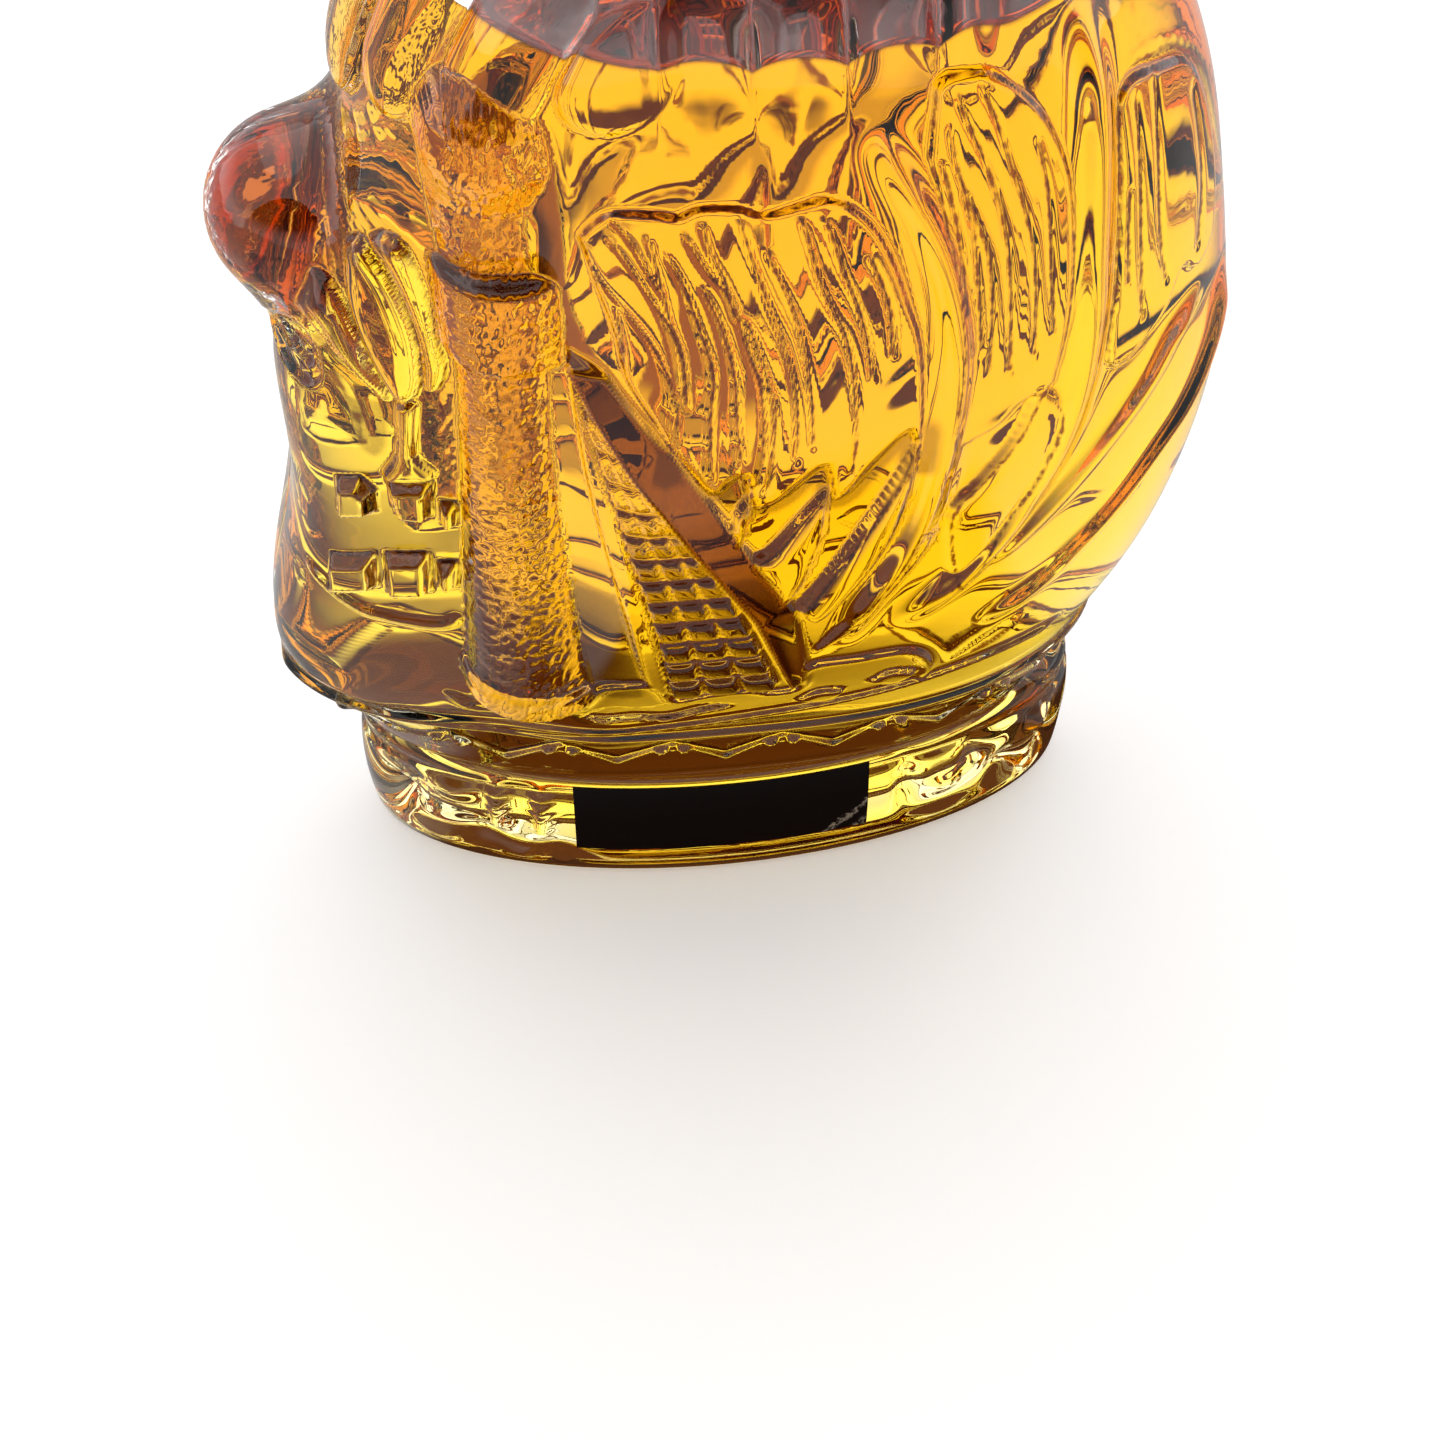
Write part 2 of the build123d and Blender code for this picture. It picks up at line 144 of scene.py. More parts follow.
def ovalRing(halfWidth, halfLength):
    turn = np.radians(fineTurns)
    return spread(np.stack([np.cos(turn) * halfWidth, np.sin(turn) * halfLength], 1))


def levelRow(ring, high):
    return ring[:, 0], ring[:, 1], np.full(columns + 1, high)


# half a ring of the cavity's wall, which runs down into the foot as an oval sump
def innerRing(high, grow):
    if high < foot["height"]:
        share = smooth(high, foot["height"], foot["height"] - sump["blend"])
        ring, _ = headRing(foot["height"], grow)
        wide, _ = ovalRing(sump["width"] * head["half"] + grow, 1)
        along = wide[:, 1] * np.where(wide[:, 1] < 0, sump["face"] * head["face"] + grow,
                                      sump["back"] * head["back"] + grow)
        wide, _ = spread(np.stack([wide[:, 0], along], 1))
        return levelRow(ring * (1 - share) + wide * share, high)
    ring, _ = headRing(high, grow)
    x, y, z = levelRow(ring, high)
    scallop = np.abs(np.cos(math.pi * (y + flutes["shift"]) / flutes["pitch"])) ** 0.7
    wave = flutes["depth"] * scallop * smooth(flutes["half"] - np.abs(y - flutes["middle"]), 0, 6)
    fade = smooth(high, flutes["low"], flutes["full"]) * smooth(flutes["top"] - high, 0, 8)
    x = x - wave * smooth(x, 8, 14) * fade
    if abs(high - brow["height"]) < brow["radius"] + 5:
        step = np.gradient(ring, axis=0)
        ny = -step[:, 0] / np.maximum(np.hypot(step[:, 0], step[:, 1]), 1e-9)
        y = y - browLift(x, y, z, ny, brow["radius"] - brow["wall"] + grow + head["wall"], brow["blend"])
    return x, y, z


# curves on the side of the head are lists of places along (y) and up (z), in millimetres
def curved(points, steps=6):
    points = np.array(points, float)
    padded = np.vstack([2 * points[0] - points[1], points, 2 * points[-1] - points[-2]])
    out = []
    for i in range(len(points) - 1):
        a, b, c, d = padded[i:i + 4]
        for t in np.linspace(0, 1, steps, endpoint=False):
            out.append(0.5 * (2 * b + (c - a) * t + (2 * a - 5 * b + 4 * c - d) * t ** 2
                              + (3 * b - a - 3 * c + d) * t ** 3))
    return np.array(out + [points[-1]])


# how far each place is from a line, and the share of the line's length at its nearest point
def lineDistance(y, z, points):
    best = np.full(y.shape, 1e9)
    run = np.zeros(y.shape)
    lengths = np.hypot(*np.diff(points, axis=0).T)
    total, sofar = lengths.sum(), 0
    low, high = points.min(0) - 9, points.max(0) + 9
    near = (y > low[0]) & (y < high[0]) & (z > low[1]) & (z < high[1])
    yn, zn = y[near], z[near]
    bestNear, runNear = best[near], run[near]
    for a, b, length in zip(points[:-1], points[1:], lengths):
        share = (yn - a[0]) * (b[0] - a[0]) + (zn - a[1]) * (b[1] - a[1])
        share = np.clip(share / max(length, 1e-6) ** 2, 0, 1)
        gap = np.hypot(yn - a[0] - share * (b[0] - a[0]), zn - a[1] - share * (b[1] - a[1]))
        closer = gap < bestNear
        bestNear = np.where(closer, gap, bestNear)
        runNear = np.where(closer, (sofar + share * length) / total, runNear)
        sofar += length
    best[near], run[near] = bestNear, runNear
    return best, run


# distance from a closed outline, negative inside it
def outlineDistance(y, z, points):
    gap, _ = lineDistance(y, z, np.vstack([points, points[:1]]))
    inside = np.zeros(y.shape, bool)
    for a, b in zip(points, np.roll(points, -1, 0)):
        crosses = (a[1] > z) != (b[1] > z)
        at = a[0] + (z - a[1]) * (b[0] - a[0]) / (b[1] - a[1] + 1e-12)
        inside ^= crosses & (y < at)
    return np.where(inside, -gap, gap)


def closedGap(y, z, points, steps=3):
    return outlineDistance(y, z, curved(list(points) + [points[0]], steps)[:-1])


# share of the way from the left edge to the right one
def between(y, z, edges):
    left, right = (np.array(edge)[::-1] for edge in edges)
    low = np.interp(z, left[:, 1], left[:, 0])
    high = np.interp(z, right[:, 1], right[:, 0])
    return (y - low) / np.maximum(high - low, 0.3)


def pillow(y, z, points, height, width):
    depth = np.clip(-closedGap(y, z, points, 4) / width, 0, 1)
    return height * np.sqrt(1 - (1 - depth) ** 2)


def ridge(y, z, points, height, width, ends=0.08):
    gap, run = lineDistance(y, z, curved(points))
    fade = smooth(run, 0, ends) * smooth(1 - run, 0, ends) if ends else 1
    return height * np.exp(-(gap / width) ** 2) * fade


# feather plates of the headdress, and the grooves in them
featherPlates = {
    "frontPlate": [(-18.4, 142.1), (-17.1, 144.4), (-14.9, 146.8), (-10.5, 147.9), (-8.3, 147.9), (-6, 149.1),
                   (-2.1, 149.1), (0.7, 148.1), (4.7, 149), (7.3, 149.5), (10.1, 148.2), (12.8, 144.9),
                   (15, 139.7), (16.8, 133.4), (18.5, 126.7), (19.4, 115.3), (19.3, 106.1), (18.2, 112.7),
                   (13.8, 107.2), (10.1, 101), (8.7, 108), (5.6, 105.4), (2.9, 101.8), (0.2, 101.2),
                   (-0.6, 107), (-2.6, 106.8), (-4.9, 104.3), (-9.4, 112.7), (-11.7, 118.5),
                   (-14.2, 123.2), (-15.1, 129.4), (-16.9, 135.7)],
    "midPlate": [(18.4, 152.9), (18.9, 158.4), (19.5, 161), (23.3, 160.9), (26, 159.6), (29.7, 156),
                 (32.3, 151.7), (34.4, 146), (35.4, 138.1), (36, 125.8), (35.3, 117.5), (34.6, 115.1),
                 (31.2, 113.7), (28.9, 110.8), (26.1, 109.2), (23.6, 108.5), (23.3, 117.1), (23.3, 126),
                 (22, 136.8), (20.7, 143.5), (19.4, 149.2)],
    "rearPlate": [(40.1, 149.3), (40.4, 151.6), (42.5, 152.2), (46.6, 150.2), (49.9, 147.6), (52.9, 142.1),
                  (55.3, 132.4), (55.9, 123), (53.3, 120.7), (51, 123.2), (49.3, 118.6), (46.7, 116),
                  (44.1, 113.8), (41.8, 115.6), (41.6, 125), (41, 138.9)],
}
featherLines = [
    [(-18.3, 142.4), (-16.5, 137.2), (-13.9, 133.8), (-10.9, 129.1), (-9, 121.3), (-8.9, 116.4),
     (-9.4, 113.2)],
    [(-15.5, 143.9), (-12.6, 139.4), (-10, 134.1), (-8.3, 128.7), (-7.8, 119)],
    [(-14.8, 134.1), (-14.3, 127.9), (-14.2, 123.2), (-12.3, 118.8), (-9.7, 114.2)],
    [(-11.5, 145.7), (-10.4, 140.2), (-9.4, 134.3), (-8.1, 127.8), (-7.7, 119)],
    [(-15, 146.5), (-12.8, 143.5), (-10.2, 137.2)],
    [(-10.2, 144.2), (-7.9, 139.4), (-6, 131.9), (-4.8, 125.4), (-5.1, 118.8), (-5.1, 109.4), (-4.8, 104.8)],
    [(-6.2, 139.8), (-3.9, 133.4), (-2.4, 125.2), (-2.1, 118.5), (-1.4, 108.9)],
    [(-8, 146.9), (-5, 140.5), (-2.7, 136.6), (-1, 129.4), (0.6, 122.7), (1.1, 113.5), (0.3, 103)],
    [(-5.8, 147.7), (-5, 143.5), (-3.3, 139), (-2.2, 133.3)],
    [(-2.2, 135.7), (-0.4, 131.5), (1.5, 122.6), (2.2, 118), (2.1, 108.4), (1.3, 102.9)],
    [(-2.1, 149), (-1.3, 145.8), (0.1, 140.3), (1.6, 134.6), (3.2, 129), (4.2, 123.1), (4.8, 117.6),
     (5.1, 108)],
    [(0.7, 144.3), (2.5, 139.3), (4.3, 133.5), (5.3, 128.3), (6.4, 119.7), (6.9, 110.3)],
    [(4.4, 148.6), (5.3, 145.3), (6.8, 138.8), (8.4, 133.8), (10.1, 129), (11.3, 121.3), (11.8, 112),
     (11.4, 103.5)],
    [(6.7, 148), (7.9, 145.4), (9.4, 139.7), (11.1, 134.3), (12.5, 128.2), (13.4, 121)],
    [(12, 142.1), (13.9, 136.8), (14.9, 132.1), (15.4, 125.1)],
    [(19.6, 153), (21.3, 145.5), (22.5, 138.6), (23.5, 130.3)],
    [(20.4, 157.2), (21.4, 151.3), (24, 143.8), (25.6, 137.8), (26.5, 129.4), (26.9, 117.9)],
    [(22, 148.6), (23.4, 143.2), (24.6, 134.1), (25.8, 123.1)],
    [(20.8, 160.2), (22.5, 155.9), (25, 149.8), (26.7, 143.7), (27.9, 137.1), (28.9, 126.5), (29.3, 117.6)],
    [(23.3, 160.6), (25.4, 155.9), (27.4, 149.8), (29.2, 144), (30.6, 138.1), (31.6, 129.8), (32.2, 119.2)],
    [(30, 153.1), (31.5, 147.1), (32.3, 141.2), (33.1, 133.3), (34.6, 122.2)],
    [(40.1, 150.9), (40.6, 145.6), (41, 138.9), (41.7, 129.1), (41.8, 122.8)],
    [(42, 152), (42.8, 145.5), (43.6, 137.4), (45.7, 119.1)],
    [(41.9, 141.1), (42.3, 134.6), (43.2, 126.1)],
    [(44.7, 152.2), (45.2, 145.8), (46.2, 135.7), (47.4, 128.1), (48.8, 122.2)],
    [(50.5, 145.6), (51.7, 139), (52.7, 132), (53, 122.9)],
]
# line, height and width of each quill
quills = [
    ([(11.5, 157.3), (15, 151.6), (18, 146.1), (20.3, 139.9), (22.1, 132.3), (23.2, 123.4), (23.1, 114.4),
      (22.2, 104.8), (20.7, 94.3), (18, 85.2), (14.8, 76.7), (11.9, 66.7)], 1.7, 1.7),
    ([(34.8, 163.9), (36.5, 157.8), (37.5, 150.5), (37.9, 142.3), (38.3, 134.9), (38.9, 126.7), (38.9, 119.9),
      (38.4, 112.7), (37, 104.4), (34.6, 96.6), (31.1, 87.5), (25.4, 78.4), (19, 69.6)], 1.7, 1.9),
    ([(55.9, 116.1), (53.2, 114.6), (50.8, 112.6), (48.7, 108.5), (46.3, 104.6), (43.3, 100), (40.3, 95.3),
      (36.7, 90), (32.7, 84.9), (28.6, 80.6)], 1.3, 1.5),
    ([(59, 113.8), (59.3, 106.9), (58, 101.9), (55.5, 96.7), (51.9, 92), (47.2, 84.6), (42.5, 78.5),
      (37.7, 72.7), (30, 66)], 1.3, 1.5),
]
# outline, height and width of the rounded edge of each blade
blades = [
    ([(-0.6, 103), (-1.9, 100.5), (-2.2, 96.7), (-1.6, 92.2), (-0.6, 95.7), (-0.2, 100)], 1.2, 1.2),
    ([(8.8, 103.8), (6.3, 99.6), (2.4, 92.3), (0, 89.4), (2.8, 83.5), (4.1, 79), (6.9, 84), (8.7, 92.8),
      (9.2, 99.2)], 1.6, 2.6),
    ([(18.9, 110.3), (17.1, 105.3), (13.2, 94.9), (8.6, 83.7), (6.1, 77.9), (9, 74.9), (13.8, 82.7),
      (17.5, 92.5), (19.3, 103.5)], 1.8, 2.4),
    ([(19.9, 94.8), (17.9, 86.4), (14.1, 77.9), (8.5, 66.4), (14.4, 72.9), (19.1, 81.4),
      (22.8, 91.1)], 1.2, 2.0),
    ([(33.3, 116.6), (30.7, 107.9), (27.1, 101.2), (23.4, 93.8), (26.7, 75.7), (31.6, 89.3), (35.8, 100.4),
      (37.4, 110)], 1.1, 2.6),
]
# the left and the right edge of the strap and of the strip of beads
strapEdges = ([(-20.4, 122.4), (-16, 113.3), (-8.4, 95.4), (0.2, 77.3), (6.5, 57)],
              [(-16.9, 123.4), (-9.2, 112.8), (-1, 94.3), (6.3, 77.8), (8.5, 57.6)])
beadEdges = ([(-19.8, 118.9), (-17.6, 110), (-15.6, 99), (-13.4, 85.4), (-11.4, 72.5), (-10, 59.4)],
             [(-19.6, 120.3), (-14.6, 111.9), (-8.4, 98.3), (-3.3, 85.7), (1.2, 72.1), (4.9, 57.3)])
bandEdge = [(-19.8, 114.8), (-18.9, 104.3), (-17.3, 92.4), (-14.8, 75.9), (-12.7, 61.8)]
# folds of the cheek, hollows, the bar beside the mouth, teeth, and thin lines of the face
cheeks = [
    [(-47.9, 122.4), (-49.6, 118.4), (-49, 116.6), (-47.2, 113.9), (-45.3, 112.1), (-43, 109.8),
     (-41.6, 108.5), (-41.7, 111.1), (-43.3, 115.9), (-44.8, 119.7), (-46.2, 122.8)],
    [(-44.1, 127.9), (-42.5, 129.7), (-41.4, 129.1), (-39.4, 126.6), (-37.9, 122.7), (-37.1, 118.2),
     (-37.4, 112.2), (-38.8, 109.3), (-40.6, 109.3), (-42.4, 113.3), (-43.8, 117.9), (-44.5, 122.4)],
    [(-41.3, 130.8), (-39.1, 132.8), (-36.9, 131.8), (-35.4, 125.3), (-34.7, 118.8), (-34.3, 115.4),
     (-35.5, 111.6), (-37, 112.3), (-37, 119), (-38.3, 125.7), (-39.7, 129.3)],
]
faceHollows = [
    ([(-48, 105.9), (-46, 107.8), (-41.6, 108.5), (-41.1, 106.9), (-41.9, 99.7), (-44.5, 96.9),
      (-47.9, 100.7), (-48.7, 102)], -1.5, 2.2),
    ([(-37.8, 106.3), (-35.7, 104.7), (-35.2, 102.9), (-36.5, 101.7), (-38.4, 101.9)], -1.2, 1.4),
]
mouthBar = [(-40.5, 108.4), (-38.2, 108.5), (-38.9, 99.9), (-37, 95.7), (-43.1, 94.4), (-41.3, 99.4)]
teeth = [
    [(-49.1, 91.6), (-46.1, 93.3), (-44.5, 91.4), (-44.6, 87.2), (-49.5, 84.4)],
    [(-42.9, 94), (-37.3, 95.1), (-37.9, 87.8), (-42.3, 87.4)],
    [(-36.9, 91.2), (-34.6, 91.0), (-34.8, 86.6), (-37.0, 86.3)],
    [(-51.5, 75.3), (-45.4, 79), (-45.7, 72), (-52.1, 68.2)],
    [(-44.4, 79.4), (-38.7, 80.8), (-39, 72.6), (-44.8, 71.2)],
    [(-38, 79.0), (-35.2, 79.4), (-35.7, 74.1), (-38.2, 73.8)],
]
faceLines = [
    ([(-55.6, 75.2), (-50.4, 81.6), (-43.6, 84.9), (-35.2, 83.3)], -0.7, 0.9),
    ([(-55.3, 70.2), (-48.7, 66.7), (-45.2, 66.2), (-38.4, 66.0), (-35.7, 68.5)], 0.8, 0.8),
    ([(-47.8, 118.7), (-46.7, 115.6), (-44.6, 112.4), (-42.2, 109.2)], -0.5, 0.5),
    ([(-43.3, 116.7), (-43, 113.8), (-41.4, 110.7)], -0.5, 0.4),
]
# the border under the headdress and the shallow lumps under it
lowLines = [
    ([(-39.5, 51.7), (-34.8, 48.3), (-26.9, 51.4), (-21.8, 53.2), (-17.9, 60.4), (-12.1, 61.2), (-9.4, 56.4),
      (-4.6, 57.2), (0.3, 57.4), (4, 55.9), (7.6, 57.2), (8.4, 62.6), (14.1, 63.3), (21.2, 63.2),
      (24.2, 58.4), (23.4, 52.0)], 0.8, 0.7),
    ([(-48, 44.5), (-36, 45.0), (-24.2, 45.6), (-17.1, 46.3), (-10, 47.3), (0.7, 49.0), (11.3, 50.8),
      (21.8, 53.0), (32, 55.5), (44, 58)], 0.9, 0.8),
]
lowPillows = [
    ([(-34.6, 50.6), (-32, 48.3), (-29.2, 47.4), (-27.1, 48.5), (-29.1, 49.8), (-32.5, 50.5)], -0.8, 0.9),
    ([(-21.1, 50.2), (-18, 54.0), (-13.1, 54), (-7.8, 54.4), (-1.3, 52.6), (-5.9, 50.8), (-10.1, 49.2),
      (-14.8, 50), (-19, 49.0)], -1.0, 1.2),
    ([(6.7, 52.6), (9.7, 55.4), (13.4, 54.7), (11.4, 51.9)], 0.9, 1.2),
    ([(16.2, 56.0), (19.2, 58.4), (23, 56.8), (20, 54.2)], 0.9, 1.2),
]
# ear column: place of its axis, heights and radii of its profile, and how it meets the head
column = {
    "axis": (23.6, -26.5),
    "profile": [(54, 0), (55.9, 0), (56.0, 9.2), (57.0, 9.8), (59.6, 9.8), (60.6, 8.9), (62.2, 8.7),
                (118.6, 6.6), (119.4, 7.9), (120.6, 8.4), (132.3, 8.5), (133.1, 8.3), (133.7, 7.9),
                (140, 8.2), (148, 8.5), (151.5, 8.7), (154.5, 8.0), (157, 6.4), (159, 3.6), (159.8, 0.4),
                (159.9, 0)],
    "domeIn": 2.4,
    "blend": 0.7,
    "frost": 0.13,
}
feathers = {"frontPlate": 0.6, "midPlate": 0.6, "rearPlate": 0.7, "edge": 0.45, "lineDepth": 0.16,
            "lineWidth": 0.4, "valleyShade": 0.75}
strap = {"height": 2.3, "slant": 0.8, "bottom": 57.5, "top": 123.4}
beads = {"across": 3, "bottom": 58.5, "top": 119, "pitch": 4.95, "shrink": 0.008, "pad": 0.5, "paintedShade": 0.85}
skull = {"cheekHeight": 1.9, "cheekWidth": 2.6, "barHeight": 1.4, "barWidth": 1.3, "teeth": 2.1,
         "hollowShade": 0.7}
zigzag = {"pitch": 15.0, "shift": 9.0, "bottom": 31.5, "top": 41.0, "inset": 1.2, "height": 0.9,
          "oval": 0.8, "bead": 43.6, "beadHeight": 1.2}


# rows of beads side by side, each row a little less tall than the one under it; painted shade on the pads of
# the lower rows
def beadRelief(y, z):
    across = between(y, z, beadEdges)
    row = -np.log(1 - (z - beads["bottom"]) * beads["shrink"] / beads["pitch"]) / beads["shrink"]
    inRow = row - np.floor(row)
    cell = across * beads["across"]
    inCell = cell - np.floor(cell)
    bump = (1 - np.abs(2 * inRow - 1) ** 4) * (1 - np.abs(2 * inCell - 1) ** 4)
    mask = smooth(across, -0.02, 0.06) * smooth(1 - across, -0.02, 0.06)
    mask = mask * smooth(z, 58, 59) * smooth(beads["top"] - z, 0, 6)
    size = np.interp(z, (58, 118), (1.5, 0.5))
    paintedShade = beads["paintedShade"] * mask * smooth(bump, 0.35, 0.7) * smooth(106 - z, 0, 14)
    return mask * (beads["pad"] + size * bump), paintedShade


# zigzag with an oval ring in each upper angle, and a bead above the band; edge is the distance to their
# painted shade lines
def zigzagRelief(y, z):
    pitch, low, high, inset = (zigzag[key] for key in ("pitch", "bottom", "top", "inset"))
    place = (y + zigzag["shift"]) / pitch
    rise = high - low - 2 * inset
    line = low + inset + rise * np.abs((place - np.floor(place)) * 2 - 1)
    gap = np.abs(z - line) / math.hypot(1, rise * 2 / pitch)
    ridges = zigzag["height"] * np.exp(-(gap / 0.6) ** 2)
    ovalY = (place - np.round(place)) * pitch
    ovalZ = z - (high - 3.2)
    ring = np.abs(np.hypot(ovalY / 2.1, ovalZ / 1.15) - 0.75)
    ridges += zigzag["oval"] * np.exp(-(ring / 0.32) ** 2)
    band = smooth(z, low - 1.5, low) * smooth(high + 1.5 - z, 0, 1.5)
    edge = np.minimum(np.abs(gap - 1.25), np.abs(z - zigzag["bead"] - 1.4)) + noLine * (1 - band)
    return band * ridges + zigzag["beadHeight"] * np.exp(-((z - zigzag["bead"]) / 0.9) ** 2), edge


# Three fields go through the next functions: relief in millimetres, the distance to the nearest
# painted shade line, and the share of painted shade on the glass.
def addFeathers(y, z, relief, lines, shade):
    for name, outline in featherPlates.items():
        gap = closedGap(y, z, outline)
        relief += feathers[name] * smooth(-gap, -feathers["edge"], feathers["edge"])
        lines = np.minimum(lines, np.abs(gap) + 0.1)
        if name == "frontPlate":
            # the valley under the points of the front feathers gets painted shade
            valley = smooth(gap, 0, 0.4) * smooth(2.8 - gap, 0, 1.2)
            paintedShade = feathers["valleyShade"] * valley * smooth(115 - z, 0, 3) * smooth(y, -11, -8)
            shade = np.maximum(shade, paintedShade)
    for line in featherLines:
        gap, run = lineDistance(y, z, curved(line))
        fade = smooth(run, 0, 0.06) * smooth(1 - run, 0, 0.06)
        relief -= feathers["lineDepth"] * np.exp(-(gap / feathers["lineWidth"]) ** 2) * fade
        lines = np.minimum(lines, gap + 0.08 + noLine * (1 - fade))
    for line, height, width in quills:
        relief = np.maximum(relief, ridge(y, z, line, height, width, 0.12))
    for outline, height, width in blades:
        relief = np.maximum(relief, pillow(y, z, outline, height, width))
        lines = np.minimum(lines, np.abs(closedGap(y, z, outline) + 0.9) + 0.1)
    return relief, lines, shade


def addStrapAndBeads(y, z, relief, lines, shade):
    across = between(y, z, strapEdges)
    ends = smooth(z, strap["bottom"], strap["bottom"] + 2.5) * smooth(strap["top"] - z, 0, 2)
    raised = strap["height"] * (1 - strap["slant"] * np.clip(across, 0, 1))
    raised = raised * smooth(across, -0.06, 0.10) * smooth(1 - across, -0.04, 0.10)
    relief = np.maximum(relief, raised * ends)
    # painted shade over the strap, left off its right half near the bottom
    paintedShade = smooth(across, 0.02, 0.10) * smooth(1 - across, 0.02, 0.10) * ends
    shade = np.maximum(shade, paintedShade * (1 - smooth(across, 0.4, 0.6) * smooth(76 - z, 0, 8)))
    raised, paintedShade = beadRelief(y, z)
    relief = np.maximum(relief, raised)
    shade = np.maximum(shade, paintedShade)
    # smooth band between the beads and the column, and fields of painted shade beside it with a gap in them
    gap = closedGap(y, z, bandEdge + beadEdges[0][::-1])
    relief = np.maximum(relief, 0.8 * smooth(-gap, -0.4, 0.4))
    lines = np.minimum(lines, np.abs(gap) + 0.1)
    fields = smooth(z, 57, 58) * smooth(83 - z, 0, 1) * (1 - smooth(z, 69, 70) * smooth(72 - z, 0, 1))
    across = between(y, z, ([(-26, 115), (-26, 60)], bandEdge))
    paintedShade = 0.8 * smooth(across, 0, 0.1) * smooth(1 - across, 0, 0.08) * fields
    return relief, lines, np.maximum(shade, paintedShade)


def addSkull(y, z, relief, lines, shade):
    for outline in cheeks:
        relief = np.maximum(relief, pillow(y, z, outline, skull["cheekHeight"], skull["cheekWidth"]))
        lines = np.minimum(lines, np.abs(closedGap(y, z, outline)) + 0.15)
    for outline, height, width in faceHollows:
        relief += pillow(y, z, outline, height, width)
        # painted shade in the face's hollows
        shade = np.maximum(shade, skull["hollowShade"] * smooth(-closedGap(y, z, outline), 0.2, 1.2))
    relief = np.maximum(relief, pillow(y, z, mouthBar, skull["barHeight"], skull["barWidth"]))
    for outline in teeth:
        gap = outlineDistance(y, z, np.array(outline, float))
        relief = np.maximum(relief, skull["teeth"] * np.clip(-gap, 0, 1))
        lines = np.minimum(lines, np.abs(gap) + 0.1)
    for line, height, width in faceLines:
        relief += ridge(y, z, line, height, width, 0.1)
    return relief, lines, shade


def headRelief(x, y, z):
    fields = np.zeros(y.shape), np.full(y.shape, noLine), np.zeros(y.shape)
    for addOrnament in (addFeathers, addStrapAndBeads, addSkull):
        fields = addOrnament(y, z, *fields)
    relief, lines, shade = fields
    side = smooth(np.abs(x), 4, 10)
    relief = relief * side
    for line, height, width in lowLines:
        relief = np.maximum(relief, ridge(y, z, line, height, width, 0.05))
    for outline, height, width in lowPillows:
        relief += pillow(y, z, outline, height, width)
    band = smooth(z, 26, 29) * smooth(np.abs(x), 3, 9)
    ridges, edge = zigzagRelief(y, z)
    relief += ridges * band
    lines = np.minimum(lines, edge + noLine * (1 - band))
    return relief, lines + noLine * (1 - side) * (z > 46), shade * side


# lobes of the frontlet: place round the ring, half width, bottom, top and height
lobes = ((0, 8.2, 139.5, 172, 3.4), (15.0, 7.0, 147, 174, 3.0), (28.0, 6.4, 152, 173, 2.4),
         (40.5, 6.0, 156, 171, 1.6))
# an eye socket and the deeper hollow in it
sockets = (
    ([(-54.6, 116.5), (-56.2, 112), (-56.4, 108.6), (-54.6, 105.6), (-51.4, 105.2), (-49.4, 107.6),
      (-49.4, 111), (-50.8, 114.6), (-52.4, 116.4)], 1.6, 3.2),
    ([(-54.4, 113), (-55.4, 109.6), (-53.6, 107), (-51.2, 107.2), (-50.8, 110.6), (-52.2, 113.2)], 0.9, 1.6),
)
nose = {"bottom": 79, "top": 104, "half": 5.2, "depth": 2.0}


# lobes round the forehead, eye sockets and the hollow of the nose; s is the way round the ring
def faceFeatures(y, z, s):
    push = np.zeros(y.shape)
    for centre, half, low, high, height in lobes:
        across = (s - centre) / half
        end = np.maximum(np.maximum(low + half - z, z - high + half) / half, 0)
        depth = np.clip(1 - np.hypot(across, end), 0, 1)
        front = smooth(-y, 5, 20)
        push = np.maximum(push, height * np.sqrt(1 - (1 - depth) ** 2) * front)
    for outline, depth, width in sockets:
        push -= pillow(y, z, outline, depth, width) * smooth(s, 3.5, 6.5)
    share = np.clip((z - nose["bottom"]) / (nose["top"] - nose["bottom"]), 0, 1)
    edge = nose["half"] * share * smooth(nose["top"] + 2.5 - z, 0, 2) - s
    return push - nose["depth"] * smooth(edge, -0.4, 2.2) * (z < nose["top"] + 3)


# how far the wall has to move forwards to meet the brow's ball, blended into it
def browLift(x, y, z, ny, radius, blend):
    centre = (0, brow["radius"] - head["face"], brow["height"])
    dx, dz = x - centre[0], z - centre[2]
    near = (np.hypot(dx, dz) < radius + 6) & (y < centre[1] + 14)
    lift = np.zeros(x.shape)
    slant = np.clip(-ny, 0.25, 1)
    for step in np.arange(0, brow["radius"] + 4, 0.1):
        skin = step * slant
        ball = np.sqrt(dx * dx + (y - step - centre[1]) ** 2 + dz * dz) - radius
        mixed = np.maximum(blend - np.abs(skin - ball), 0) / blend
        inside = np.minimum(skin, ball) - mixed * mixed * blend / 4 < 0
        lift = np.where(near & inside, step, lift)
    return lift
